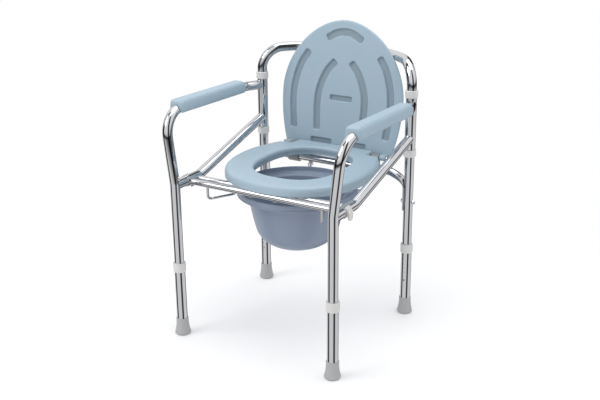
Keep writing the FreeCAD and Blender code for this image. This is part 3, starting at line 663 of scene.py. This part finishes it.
class COMMODE_OT_seat_bars(bpy.types.Operator):
    """Bars under the ring and the bent wire rails for the pail"""
    bl_idname = "commode.seat_bars"
    bl_label = "Seat bars and pail rails"

    def execute(self, context):
        tubes = context.scene.commode_tubes
        for node in ("front_bar", "inner_bar"):
            low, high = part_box(node)
            r = (high.z - low.z) / 2
            y = (high.y + low.y) / 2
            z = (high.z + low.z) / 2
            piece = tube(node + "_piece", straight((low.x, y, z), (high.x, y, z)), r)
            settle(piece, "seat", [node], "chrome")
        low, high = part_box("pail_rail_right")
        bar = middle("front_bar")
        r = tubes.wire_radius
        z = low.z + r
        run_x = low.x + r
        front_x = tubes.wire_front
        back_x = tubes.wire_back
        back_y = high.y - r
        for name, side in SIDES:
            corners = [Vector((side * front_x, bar.y, bar.z)), Vector((side * front_x, bar.y, z)),
                       Vector((side * run_x, bar.y + tubes.wire_lead, z)), Vector((side * run_x, back_y, z)),
                       Vector((side * back_x, back_y, z)), Vector((side * back_x, back_y, high.z))]
            path = rounded(corners, [0.010, 0.040, 0.012, 0.010], math.radians(5))
            piece = tube("pail_rail_%s_piece" % name, path, r)
            settle(piece, "seat", ["pail_rail_" + name], "chrome")
        return {"FINISHED"}


class COMMODE_OT_legs(bpy.types.Operator):
    """Lower legs with their adjusting holes"""
    bl_idname = "commode.legs"
    bl_label = "Lower legs"

    def execute(self, context):
        tubes = context.scene.commode_tubes
        spring_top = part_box("snap_button_front_right")[1].z
        hole_z = spring_top - 0.005
        for corner in CORNERS:
            low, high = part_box("lower_leg_" + corner)
            x = (low.x + high.x) / 2
            y = (low.y + high.y) / 2
            leg = ring_tube("lower_leg_%s_piece" % corner, (x, y), OUTER_R, TUBE_R + RUN, low.z, high.z)
            facing = 1 if corner.startswith("front") else -1
            drill(leg, x, y, facing, [hole_z + tubes.hole_pitch * k for k in range(tubes.holes)])
            settle(leg, "leg_" + corner, ["lower_leg_" + corner], "chrome")
        return {"FINISHED"}


def drill(leg, x, y, facing, heights):
    """Cut the row of adjusting holes through one wall."""
    r = bpy.context.scene.commode_tubes.hole_radius
    facets = 24
    inner, outer = 0.004, 0.020
    parts = []
    for z in heights:
        turns = [2 * math.pi * k / facets for k in range(facets)]
        ring = [(x + r * math.cos(a), z + r * math.sin(a)) for a in turns]
        parts.append(loft("cutter", [[(a, y + facing * t, b) for a, b in ring] for t in (inner, outer)]))
    cutter = join("cutters", parts)
    cut = leg.modifiers.new("Holes", "BOOLEAN")
    cut.operation = "DIFFERENCE"
    cut.solver = "EXACT"
    cut.object = cutter
    plain(leg)
    bpy.data.objects.remove(cutter)
    sharpen(leg)


# ---------------------------------------------------------------- moulded seat ring
def front_curve(half, front, wide, power, steps=90):
    """Right-hand front of an outline, from its widest place round to the middle of the front."""
    points = []
    for k in range(1, steps + 1):
        a = math.pi / 2 * k / steps
        points.append((half * math.cos(a) ** (2 / power), wide - (wide - front) * math.sin(a) ** (2 / power)))
    return points


def side_curve(half, wide, back, back_half, last):
    """Right-hand side of an outline, from near the rear corner forward to the widest place."""
    points = []
    y = last
    while y > wide:
        k = (y - wide) / (back - wide)
        points.append((half - (half - back_half) * k ** 2.2, y))
        y -= 0.003
    points.append((half, wide))
    return points


def spaced(points, step):
    """Points evenly spaced along a curve."""
    loop = np.array(points)
    steps = np.linalg.norm(np.diff(loop, axis=0), axis=1)
    along = np.concatenate([[0.0], np.cumsum(steps)])
    marks = np.arange(0, along[-1], step)
    return [(float(np.interp(m, along, loop[:, 0])), float(np.interp(m, along, loop[:, 1]))) for m in marks]


def ring_outline():
    """The seat ring's outline seen from above, with the hinge tab."""
    seat = bpy.context.scene.commode_seat
    low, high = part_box("seat_ring")
    back = PIN.y - seat.notch_at
    wide = PIN.y - seat.wide_at
    corners = [(0, high.y, 0), (seat.tab_half, high.y, 0.009), (seat.tab_half, back, 0.007),
               (seat.notch_half, back, 0.009)]
    side = side_curve(seat.half_width, wide, back, seat.notch_half, back - 0.013)
    front = front_curve(seat.half_width, low.y, wide, seat.power)
    curve = spaced(side + front, 0.004)
    points = [Vector((x, y, 0)) for x, y, r in corners] + [Vector((x, y, 0)) for x, y in curve]
    radii = [r for x, y, r in corners[1:]] + [0] * (len(curve) - 1)
    right = fill_in(rounded(points, radii, math.radians(10)), 0.005)
    right[-1].x = 0
    return right + [Vector((-p.x, p.y, 0)) for p in reversed(right[1:-1])]


def hinge_recesses():
    """Cutters for the rooms under the tab that the clamps and eyebolts stand in."""
    low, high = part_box("seat_ring")
    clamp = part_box("hinge_clamp_right")
    eye_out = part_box("eyebolts")[1].x
    gap = 0.0006
    around_rod = 0.008 + gap
    past = 0.010
    spans = [(clamp[0].x - gap, clamp[1].x + gap),
             (eye_out - bpy.context.scene.commode_seat.eye_width - gap, eye_out + gap)]
    parts = []
    for a, b in spans + [(-b, -a) for a, b in spans]:
        front = PIN.y - around_rod
        roof = PIN.z + around_rod
        loop = [(front, low.z - past), (front, roof), (high.y + past, roof), (high.y + past, low.z - past)]
        parts.append(loft("cutter", [[(x, y, z) for y, z in loop] for x in (a, b)]))
    return join("recesses", parts)


def fill_in(points, longest):
    """Add points where a step is longer than wanted."""
    made = [points[0]]
    for a, b in zip(points, points[1:]):
        count = max(1, math.ceil((b - a).length / longest))
        made += [a.lerp(b, k / count) for k in range(1, count + 1)]
    return made


def inward(points):
    """The inward direction at each point of a closed outline that runs clockwise seen from above."""
    made = []
    count = len(points)
    for k in range(count):
        run = (points[(k + 1) % count] - points[k - 1]).normalized()
        made.append(Vector((run.y, -run.x, 0)))
    return made


class COMMODE_OT_seat_ring(bpy.types.Operator):
    """Moulded seat ring: rolled edge, stepped skirt, dished top and the hinge tab"""
    bl_idname = "commode.seat_ring"
    bl_label = "Seat ring"

    def execute(self, context):
        seat = context.scene.commode_seat
        low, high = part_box("seat_ring")
        outline = ring_outline()
        turn = sum(a.x * b.y - b.x * a.y for a, b in zip(outline, outline[1:] + outline[:1]))
        side = inward(outline) if turn < 0 else [-d for d in inward(outline)]
        middle_y = PIN.y - (seat.opening_front + seat.opening_back) / 2
        long_half = (seat.opening_front - seat.opening_back) / 2
        skirt_top = low.z + seat.skirt
        groove = 0.0018
        ease = 0.0008
        reach = 0.060
        roll_low = skirt_top + groove

        def level(inset, height):
            return [Vector((p.x, p.y, 0)) + d * inset + Vector((0, 0, height)) for p, d in zip(outline, side)]

        def rolled(share, height):
            made = []
            for p, d in zip(outline, side):
                near = smooth_step((PIN.y - seat.notch_at - p.y) / reach)
                wide = seat.tab_edge + (seat.edge - seat.tab_edge) * near
                made.append(Vector((p.x, p.y, 0)) + d * (seat.skirt_step + (wide - seat.skirt_step) * share)
                            + Vector((0, 0, height)))
            return made

        # from the bottom edge up the skirt, over its step line and the rolled edge
        rows = [level(ease, low.z), level(0, low.z + ease), level(0, skirt_top - 0.001),
                level(0.0002, skirt_top), level(seat.skirt_step * 0.8, skirt_top + 0.001),
                level(seat.skirt_step, roll_low)]
        for k in range(1, 13):
            a = math.pi / 2 * k / 12
            rows.append(rolled(1 - math.cos(a), roll_low + (high.z - roll_low) * math.sin(a)))
        top = rows[-1]
        rim = []
        for p in top:
            c = p.x / seat.opening_half
            s = (p.y - middle_y) / long_half
            n = (abs(c) ** seat.opening_power + abs(s) ** seat.opening_power) ** (1 / seat.opening_power)
            rim.append(Vector((p.x / n, middle_y + (p.y - middle_y) / n, 0)))
        out = [Vector((p.x, p.y, 0)) - r for p, r in zip(top, rim)]
        way = [f.normalized() for f in out]
        # across the dished top
        for k in range(1, 12):
            t = k / 12
            drop = Vector((0, 0, high.z - seat.dish * smooth_step(t)))
            rows.append([Vector((p.x, p.y, 0)).lerp(r + w * seat.lip, t) + drop
                         for p, r, w in zip(top, rim, way)])
        # over the lip and down the opening's wall, with its ledge
        lip_low = high.z - seat.dish - seat.lip
        ledge = low.z + seat.ledge
        quarter = [math.pi / 2 * k / 10 for k in range(0, 11)]
        wall = [(seat.lip * (1 - math.sin(a)), lip_low + seat.lip * math.cos(a)) for a in quarter]
        wall += [(0.0, ledge + 0.0012), (0.0004, ledge + 0.0004), (0.0014, ledge), (0.0020, ledge - 0.0006),
                 (0.0021, low.z + 0.0015), (0.0026, low.z)]
        for inset, height in wall:
            up = Vector((0, 0, height))
            rows.append([Vector((r.x, r.y, 0)) + w * inset + up for r, w in zip(rim, way)])
        piece = loft("seat_ring_piece", rows, closed=True)
        cutter = hinge_recesses()
        cut = piece.modifiers.new("Recesses", "BOOLEAN")
        cut.operation = "DIFFERENCE"
        cut.solver = "EXACT"
        cut.object = cutter
        plain(piece)
        bpy.data.objects.remove(cutter)
        sharpen(piece, 40)
        settle(piece, "seat", ["seat_ring"], "seat_plastic")
        return {"FINISHED"}


def smooth_step(t):
    t = min(1.0, max(0.0, t))
    return t * t * (3 - 2 * t)


# ---------------------------------------------------------------- lid
LID_SLOTS = (
    ((0.112, 0.251), (0.128, 0.226), (0.141, 0.190), (0.148, 0.150), (0.148, 0.105), (0.142, 0.053)),
    ((0.030, 0.231), (0.046, 0.212), (0.060, 0.184), (0.070, 0.150), (0.072, 0.110), (0.069, 0.055)),
)
LID_ARCH = ((-0.045, 0.301), (-0.024, 0.312), (0.0, 0.316), (0.024, 0.312), (0.045, 0.301))
LID_MIDDLE = ((-0.026, 0.139), (0.026, 0.139))
LID_BASE = ((0.028, 0.017), (0.077, 0.017))


LID_CENTRE = 0.150
LID_CELLS = 128
FACE_EASE = 0.0028
BACK_EASE = 0.005


def flipped(points):
    return tuple((-x, u) for x, u in points)


def to_path(x, u, points):
    """Distance from grid points to a polyline, squarer past its two ends."""
    best = np.full(x.shape, 9.0)
    last = len(points) - 2
    for k in range(last + 1):
        (ax, au), (bx, bu) = points[k], points[k + 1]
        long = math.hypot(bx - ax, bu - au)
        along = ((x - ax) * (bx - ax) + (u - au) * (bu - au)) / long
        across = np.abs((u - au) * (bx - ax) - (x - ax) * (bu - au)) / long
        over = np.maximum(0, np.maximum(-along, along - long))
        far = np.hypot(over, across)
        if k == 0:
            far = np.where(along < 0, (over ** 4 + across ** 4) ** 0.25, far)
        if k == last:
            far = np.where(along > long, (over ** 4 + across ** 4) ** 0.25, far)
        best = np.minimum(best, far)
    return best


def spline(points):
    """A smooth curve through the points, as a fine polyline."""
    p = np.array(points)
    p = np.vstack([2 * p[0] - p[1], p, 2 * p[-1] - p[-2]])
    made = []
    for k in range(1, len(p) - 2):
        for t in np.linspace(0, 1, 8, endpoint=False):
            a = 2 * p[k]
            b = (p[k + 1] - p[k - 1]) * t
            c = (2 * p[k - 1] - 5 * p[k] + 4 * p[k + 1] - p[k + 2]) * t * t
            d = (3 * p[k] - p[k - 1] - 3 * p[k + 1] + p[k + 2]) * t ** 3
            made.append(tuple((a + b + c + d) / 2))
    made.append(tuple(p[-2]))
    return tuple(made)


class COMMODE_OT_lid(bpy.types.Operator):
    """Moulded lid with its pressed slots, standing open on the hinge rod"""
    bl_idname = "commode.lid"
    bl_label = "Lid"

    def execute(self, context):
        lid = context.scene.commode_lid
        half = LID_CELLS
        count = 8 * half
        outline = lid_outline(lid, count)
        centre = np.array([0.0, LID_CENTRE])
        reach = np.linalg.norm(outline - centre, axis=1)
        shares = np.concatenate([np.linspace(0, 0.957, half - 5), [0.970, 0.980, 0.988, 0.994, 0.998, 1.0]])

        # the front is a square grid pulled out to the outline, so that its cells stay about one size
        i, j = np.meshgrid(np.arange(-half, half + 1), np.arange(-half, half + 1), indexing="ij")
        ring = np.maximum(np.abs(i), np.abs(j))
        safe = np.maximum(ring, 1)
        turn = np.where(np.abs(i) >= np.abs(j), np.where(i >= 0, 0, 4) + np.where(i >= 0, 1, -1) * j / safe,
                        np.where(j >= 0, 2, 6) - np.where(j >= 0, 1, -1) * i / safe)
        spot = np.round(turn * half).astype(int) % count
        share = shares[ring]
        flat = centre + (outline[spot] - centre) * share[..., None]
        ease = np.clip(reach[spot] * (1 - share) / 0.004, 0, 1)
        fillet = FACE_EASE * (1 - np.sqrt(np.clip(1 - (1 - ease) ** 2, 0, 1)))
        sink = slot_depth(lid, flat[..., 0], flat[..., 1])
        grid = np.stack([flat[..., 0], flat[..., 1], lid.under + sink + fillet], axis=-1).reshape(-1, 3)
        side = 2 * half + 1
        faces = [(a * side + b, (a + 1) * side + b, (a + 1) * side + b + 1, a * side + b + 1)
                 for a in range(side - 1) for b in range(side - 1)]
        parts = [mesh_object("front", [lid_place(lid, q) for q in grid], faces)]

        rims = []
        for share in (1.0, 0.998, 0.994, 0.988, 0.980, 0.970, 0.957, 0.940):
            ease = np.clip(reach * (1 - share) / BACK_EASE, 0, 1)
            fillet = BACK_EASE * (1 - np.sqrt(np.clip(1 - (1 - ease) ** 2, 0, 1)))
            level = lid.under + lid.thickness - fillet
            edge = centre + (outline - centre) * share
            rims.append([lid_place(lid, (x, u, w)) for (x, u), w in zip(edge, level)])
        border = [lid_place(lid, (x, u, lid.under + FACE_EASE)) for x, u in outline]
        parts.append(loft("back", [border] + rims, caps=False))
        parts.append(mesh_object("back_face", rims[-1], [tuple(range(count))]))
        parts.append(lid_lug(lid, -1))
        parts.append(lid_lug(lid, 1))
        piece = welded(join("lid_piece", parts))
        sharpen(piece, 55)
        # recess holds each point's share of the slot depth; the seat plastic paints shade into the slots from
        # it
        spots = np.array([lid_plane(lid, v.co) for v in piece.data.vertices])
        sunk = slot_depth(lid, spots[:, 0], spots[:, 1]) / lid.slot_depth
        sunk[spots[:, 2] > lid.under + lid.slot_depth + 0.0005] = 0
        piece.data.attributes.new("recess", "FLOAT", "POINT").data.foreach_set("value", sunk)
        settle(piece, "lid", ["lid"], "seat_plastic")
        return {"FINISHED"}


def welded(obj):
    """Merge the doubled points of joined shells and turn their faces outwards."""
    work = bmesh.new()
    work.from_mesh(obj.data)
    bmesh.ops.remove_doubles(work, verts=work.verts, dist=1e-6)
    bmesh.ops.recalc_face_normals(work, faces=work.faces)
    for face in work.faces:
        face.smooth = True
    work.to_mesh(obj.data)
    work.free()
    return obj


def lid_outline(lid, count):
    """Outline in the lid's own plane: across, and up from the hinge pin."""
    right = []
    for k in range(60):
        u = lid.wide_at * k / 60
        share = (lid.wide_at - u) / lid.wide_at
        right.append((lid.half_width - (lid.half_width - lid.base_half) * share ** 2.2, u))
    for k in range(121):
        a = math.pi / 2 * k / 120
        right.append((lid.half_width * math.cos(a) ** (2 / lid.power),
                      lid.wide_at + (lid.reach - lid.wide_at) * math.sin(a) ** (2 / lid.power)))
    skip = 6
    ends = [Vector((0, 0, 0)), Vector((lid.base_half, 0, 0)), Vector((*right[skip], 0))]
    corner = rounded(ends, [0.012], math.radians(6))
    loop = [(p.x, p.y) for p in corner] + right[skip + 1:]
    loop += [(-x, u) for x, u in reversed(loop[1:-1])]
    fine = even(loop, 4000) - np.array([0.0, LID_CENTRE])
    angles = np.arctan2(fine[:, 1], fine[:, 0])
    order = np.argsort(angles)
    wanted = np.linspace(0, 2 * math.pi, count, endpoint=False)
    reach = np.hypot(fine[:, 0], fine[:, 1])[order]
    far = np.interp(wanted, angles[order], reach, period=2 * math.pi)
    return np.stack([far * np.cos(wanted), LID_CENTRE + far * np.sin(wanted)], axis=1)


def slot_depth(lid, x, u):
    """How deep the pressed slots are at each point."""
    nearest = np.full(x.shape, 9.0)
    for points in LID_SLOTS + (LID_ARCH,):
        for way in (points, flipped(points)):
            nearest = np.minimum(nearest, to_path(x, u, spline(way)) / lid.slot_half)
    nearest = np.minimum(nearest, to_path(x, u, LID_MIDDLE) / (lid.slot_half * 0.75))
    for way in (LID_BASE, flipped(LID_BASE)):
        nearest = np.minimum(nearest, to_path(x, u, way) / (lid.slot_half * 0.8))
    t = np.clip((1.06 - nearest) / 0.34, 0, 1)
    return lid.slot_depth * t * t * (3 - 2 * t)


def lid_place(lid, q):
    """From the lid's own plane to its open place behind the seat."""
    x, u, w = q
    lean = lid.open
    return Vector((x, PIN.y - u * math.cos(lean) + w * math.sin(lean), PIN.z + u * math.sin(lean)
                   + w * math.cos(lean)))


def lid_plane(lid, p):
    """From the lid's open place back to its own plane."""
    lean = lid.open
    ahead = PIN.y - p.y
    up = p.z - PIN.z
    return (p.x, ahead * math.cos(lean) + up * math.sin(lean), up * math.cos(lean) - ahead * math.sin(lean))


def lid_lug(lid, side):
    """A rounded ear that holds the hinge rod, blended into the lid's lower edge."""
    low = lid.lug_in
    high = lid.lug_in + lid.lug_width
    ear = 0.008
    root = 0.040
    ease = 0.0008
    mid_w = 0.004
    turns = [math.radians(180 + 10 * k) for k in range(19)]
    loop = [(ear * math.cos(a), ear * math.sin(a)) for a in turns]
    loop += [(ear, lid.under + 0.003), (root, lid.under + 0.002), (root, lid.under + 0.005),
             (-ear, lid.under + 0.005)]
    rings = []
    for t, inset in ((low, ease), (low + ease, 0), (high - ease, 0), (high, ease)):
        ring = []
        for u, w in loop:
            n = math.hypot(u, w - mid_w)
            k = (n - inset) / n
            ring.append(lid_place(lid, (side * t, u * k, mid_w + (w - mid_w) * k)))
        rings.append(ring)
    return loft("lug", rings)


# ---------------------------------------------------------------- pail
class COMMODE_OT_pail(bpy.types.Operator):
    """Round pail with a flat rim, its upturned lip and two grips"""
    bl_idname = "commode.pail"
    bl_label = "Pail"

    def execute(self, context):
        low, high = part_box("pail")
        pail = context.scene.commode_pail
        centre = (low + high) / 2
        rim_r = centre.y - low.y
        grip_x = high.x
        under = high.z - pail.lip - pail.rim_thickness
        flat = under + pail.rim_thickness
        wall = pail.wall
        depth = under - low.z
        barrel = 0.45

        def outside(z):
            down = (under - z) / depth
            return pail.top_radius - (pail.top_radius - pail.low_radius) * down * (1 - barrel + barrel * down)

        def bowl(thin, z_low, corner):
            points = [(0.0, z_low)]
            for k in range(0, 11):
                a = math.pi / 2 * k / 10
                z = z_low + corner * (1 - math.cos(a))
                points.append((outside(z) - thin - corner + corner * math.sin(a), z))
            return points

        # outside: bottom, side and the fillet under the rim
        plan = [(r, z, 0) for r, z in bowl(0, low.z, pail.corner)]
        for k in range(1, 7):
            z = low.z + pail.corner + (under - 0.004 - low.z - pail.corner) * k / 6
            plan.append((outside(z), z, 0))
        top = outside(under)
        plan += [(top + 0.0012, under - 0.0018, 0), (top + 0.004, under, 0)]

        # the flat rim's edge, which reaches out into the grips
        edge = pail.rim_thickness / 2
        for k in range(0, 9):
            a = -math.pi / 2 + math.pi * k / 8
            plan.append((edge * math.cos(a) - edge, under + edge + edge * math.sin(a), 1))

        # the upturned lip, up its outside, over its top and down into the channel
        lip = rim_r - 0.0002
        thin = pail.lip_wall
        crown = 0.0014
        plan += [(lip - 0.0006, flat, 0), (lip - 0.0001, flat + 0.0006, 0), (lip, flat + 0.0015, 0),
                 (lip, high.z - crown, 0)]
        for k in range(1, 9):
            a = math.pi * k / 8
            plan.append((lip - thin / 2 + thin / 2 * math.cos(a), high.z - crown + crown * math.sin(a), 0))
        plan += [(lip - thin - 0.0002, flat + 0.003, 0), (lip - thin - 0.0008, flat + 0.0012, 0),
                 (lip - thin - 0.0022, flat + 0.0002, 0)]

        # the step round the mouth, as distances out from the inner wall and down from the flat
        mouth = top - wall
        for out, drop in ((0.0095, 0), (0.0085, 0.0003), (0.0078, 0.0011), (0.0068, 0.0014), (0.0035, 0.0014),
                          (0.0018, 0.0018), (0.0006, 0.0030), (0, 0.0050)):
            plan.append((mouth + out, flat - drop, 0))
        inner = bowl(wall, low.z + wall, pail.corner - wall)
        for k in range(1, 7):
            z = low.z + pail.corner + (under - low.z - pail.corner) * k / 7
            inner.append((outside(z) - wall, z))
        plan += [(r, z, 0) for r, z in reversed(inner)]

        count = 180
        rings = []
        for r, z, on_edge in plan:
            ring = []
            for k in range(count):
                a = 2 * math.pi * k / count
                reach = r + (rim_reach(a, rim_r, grip_x, pail.grip_half) if on_edge else 0)
                ring.append(Vector((reach * math.cos(a), centre.y + reach * math.sin(a), z)))
            rings.append(ring)
        piece = loft("pail_piece", rings, caps=False)
        sharpen(piece, 45)
        settle(piece, "pail", ["pail"], "pail_plastic")
        return {"FINISHED"}


def rim_reach(a, radius, grip_x, half):
    """The rim's edge seen from above: round, with a straight grip at each side."""
    c = abs(math.cos(a))
    s = abs(math.sin(a))
    if c * half > s * grip_x * 0.999:
        return grip_x / c
    shoulder = math.radians(3.5)
    blend = smooth_step((math.atan2(s, c) - math.atan2(half, grip_x)) / shoulder)
    return (grip_x / c) * (1 - blend) + radius * blend if blend < 1 else radius


# ---------------------------------------------------------------- arm pads
class COMMODE_OT_arm_pads(bpy.types.Operator):
    """Moulded arm pads round the arm tubes"""
    bl_idname = "commode.arm_pads"
    bl_label = "Arm pads"

    def execute(self, context):
        pads = context.scene.commode_pads
        tubes = context.scene.commode_tubes
        rise = tubes.arm_front_height - tubes.arm_bend_height
        fall = rise / (REAR_Y - tubes.arm_bend_at - FRONT_Y)
        for name, side in SIDES:
            low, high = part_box("arm_pad_" + name)
            x = (low.x + high.x) / 2
            half = (high.x - low.x) / 2
            length_y = high.y - low.y
            rings = []
            tall = pads.height / 2
            inset = 0.0006
            for k in range(0, 41):
                y = low.y + inset + (length_y - 2 * inset) * end_spacing(k / 40)
                back = min(y - low.y, high.y - y)
                pinch = math.sqrt(max(0.0, 1 - (1 - min(1.0, back / pads.end_round)) ** 2))
                shrink = pads.end_round * (1 - pinch)
                mid_z = tubes.arm_front_height + pads.rise - (y - FRONT_Y) * fall
                ring = []
                for j in range(56):
                    a = 2 * math.pi * j / 56
                    ring.append(pad_point(pads, a, half - shrink, tall - shrink, x, y, mid_z))
                rings.append(ring)
            piece = loft("arm_pad_%s_piece" % name, rings)
            sharpen(piece, 60)
            settle(piece, "side_frame_" + name, ["arm_pad_" + name], "seat_plastic")
        return {"FINISHED"}


def end_spacing(t):
    """Places along a pad, closer together towards both ends."""
    return 0.5 - 0.5 * math.cos(math.pi * t) if 0 < t < 1 else t


def pad_point(pads, a, half, tall, x, y, mid_z):
    """A point of the pad's section: a rounded box, a little crowned on top and narrower there."""
    c = math.cos(a)
    s = math.sin(a)
    power = 2 / pads.squareness
    px = math.copysign(abs(c) ** power, c) * half
    pz = math.copysign(abs(s) ** power, s) * tall
    lean = pads.draft * max(0.0, pz / tall)
    px *= 1 - lean
    return Vector((x + px, y, mid_z + pz))


# ---------------------------------------------------------------- studio
LIGHTS = (("key", (-1.6, -1.9, 2.6), 1.6), ("overhead", (0.3, 0.4, 2.9), 2.2))
LIT_POINT = (0, 0, 0.4)
FLOOR_HALF = 9
SKY_BANDS = ((0.0, 0.75), (0.36, 0.85), (0.44, 0.10), (0.50, 0.03), (0.53, 0.55), (0.62, 0.95), (0.80, 1.0))


class COMMODE_OT_studio(bpy.types.Operator):
    """Pale floor, soft lights and the camera"""
    bl_idname = "commode.studio"
    bl_label = "Studio"

    def execute(self, context):
        studio = context.scene.commode_studio
        far = FLOOR_HALF
        floor = mesh_object("studio_floor", [(-far, -far, 0), (far, -far, 0), (far, far, 0), (-far, far, 0)],
                            [(0, 1, 2, 3)])
        floor.data.materials.append(studio_paper(context.scene.commode_finish.floor))
        floor.visible_glossy = False
        for (name, place, size), power in zip(LIGHTS, (studio.key_power, studio.fill_power)):
            light = bpy.data.lights.new(name, "AREA")
            light.energy = power
            light.size = size
            lamp = bpy.data.objects.new(name, light)
            lamp.location = place
            lamp.rotation_euler = (Vector(LIT_POINT) - Vector(place)).to_track_quat("-Z", "Y").to_euler()
            context.scene.collection.objects.link(lamp)
        lens = bpy.data.cameras.new("camera")
        lens.lens = studio.lens
        lens.sensor_width = 36
        lens.clip_end = 50
        camera = bpy.data.objects.new("camera", lens)
        look = Matrix.Rotation(studio.turn, 3, "Z") @ Matrix.Rotation(math.pi / 2 - studio.pitch, 3, "X")
        look = look @ Matrix.Rotation(studio.roll, 3, "Z")
        camera.location = studio.place
        camera.rotation_euler = look.to_euler()
        context.scene.collection.objects.link(camera)
        context.scene.camera = camera
        context.scene.view_settings.view_transform = "Standard"
        sky(context.scene)
        return {"FINISHED"}


def studio_paper(white):
    """White background paper: matt, takes soft shadows near the chair and burns out to white around it."""
    made, tree, shader, place = material("white_studio_paper")
    shader.inputs["Base Color"].default_value = white
    shader.inputs["Roughness"].default_value = 0.85
    far = add(tree, "ShaderNodeVectorMath", {0: place}, operation="LENGTH")
    fade = add(tree, "ShaderNodeMapRange", {"Value": far.outputs["Value"], "From Min": 0.5,
                                            "From Max": 1.3, "To Min": 0.12, "To Max": 1.0})
    glow = add(tree, "ShaderNodeEmission", {"Color": (1, 1, 1, 1), "Strength": 1.0})
    both = add(tree, "ShaderNodeMixShader", {0: fade.outputs["Result"], 1: shader.outputs["BSDF"],
                                             2: glow.outputs["Emission"]})
    tree.links.new(both.outputs["Shader"], tree.nodes["Material Output"].inputs["Surface"])
    return made


def sky(scene):
    """White behind the chair; dark and light bands all round for the chrome to mirror."""
    world = scene.world or bpy.data.worlds.new("studio")
    scene.world = world
    world.use_nodes = True
    tree = world.node_tree
    tree.nodes.clear()
    way = add(tree, "ShaderNodeTexCoord").outputs["Generated"]
    split = add(tree, "ShaderNodeSeparateXYZ", {"Vector": way})
    height = add(tree, "ShaderNodeMapRange", {"Value": split.outputs["Z"], "From Min": -1.0, "From Max": 1.0})
    ramp = add(tree, "ShaderNodeValToRGB", {"Fac": height.outputs["Result"]})
    while len(ramp.color_ramp.elements) < len(SKY_BANDS):
        ramp.color_ramp.elements.new(0.5)
    for element, (at, grey) in zip(ramp.color_ramp.elements, SKY_BANDS):
        element.position = at
        element.color = (grey, grey, grey, 1)
    around = add(tree, "ShaderNodeMath", {0: split.outputs["Y"], 1: split.outputs["X"]}, operation="ARCTAN2")
    wave = add(tree, "ShaderNodeMath", {0: around.outputs["Value"], 1: 3.0}, operation="MULTIPLY")
    beat = add(tree, "ShaderNodeMath", {0: wave.outputs["Value"]}, operation="SINE")
    strip = add(tree, "ShaderNodeMapRange", {"Value": beat.outputs["Value"], "From Min": -0.75,
                                             "From Max": -0.35, "To Min": 0.06, "To Max": 1.0})
    shade = add(tree, "ShaderNodeVectorMath", {0: ramp.outputs["Color"], "Scale": strip.outputs["Result"]},
                operation="SCALE")
    path = add(tree, "ShaderNodeLightPath")
    glossy = add(tree, "ShaderNodeMix", {"Factor": path.outputs["Is Glossy Ray"],
                                         "A": (0.86, 0.87, 0.89, 1.0), "B": shade.outputs["Vector"]},
                 data_type="RGBA")
    seen = add(tree, "ShaderNodeMix", {"Factor": path.outputs["Is Camera Ray"],
                                       "A": glossy.outputs["Result"], "B": (1.0, 1.0, 1.0, 1.0)},
               data_type="RGBA")
    light = add(tree, "ShaderNodeBackground", {"Color": seen.outputs["Result"], "Strength": 1.0})
    add(tree, "ShaderNodeOutputWorld", {"Surface": light.outputs["Background"]})


# ---------------------------------------------------------------- add-on
class COMMODE_PT_panel(bpy.types.Panel):
    """Buttons for the stages, in the order they run"""
    bl_idname = "COMMODE_PT_panel"
    bl_label = "Folding Commode Chair"
    bl_space_type = "VIEW_3D"
    bl_region_type = "UI"
    bl_category = "Commode"

    def draw(self, context):
        for stage in STAGES:
            self.layout.operator(stage.bl_idname)


STAGES = (COMMODE_OT_finishes, COMMODE_OT_back_tube, COMMODE_OT_cross_tube, COMMODE_OT_side_frames,
          COMMODE_OT_seat_bars, COMMODE_OT_legs, COMMODE_OT_seat_ring, COMMODE_OT_lid, COMMODE_OT_pail,
          COMMODE_OT_arm_pads, COMMODE_OT_studio)
GROUPS = (("commode_tubes", CommodeTubes), ("commode_seat", CommodeSeat), ("commode_lid", CommodeLid),
          ("commode_pail", CommodePail), ("commode_pads", CommodePads),
          ("commode_finish", CommodeFinish), ("commode_studio", CommodeStudio))


def register():
    for name, group in GROUPS:
        bpy.utils.register_class(group)
        setattr(bpy.types.Scene, name, PointerProperty(type=group))
    for kind in STAGES + (COMMODE_PT_panel,):
        bpy.utils.register_class(kind)


def unregister():
    for kind in reversed(STAGES + (COMMODE_PT_panel,)):
        bpy.utils.unregister_class(kind)
    for name, group in reversed(GROUPS):
        delattr(bpy.types.Scene, name)
        bpy.utils.unregister_class(group)


def run(stage):
    group, name = stage.bl_idname.split(".")
    getattr(getattr(bpy.ops, group), name)()


def main():
    register()
    for stage in STAGES:
        run(stage)


if __name__ == "__main__":
    main()
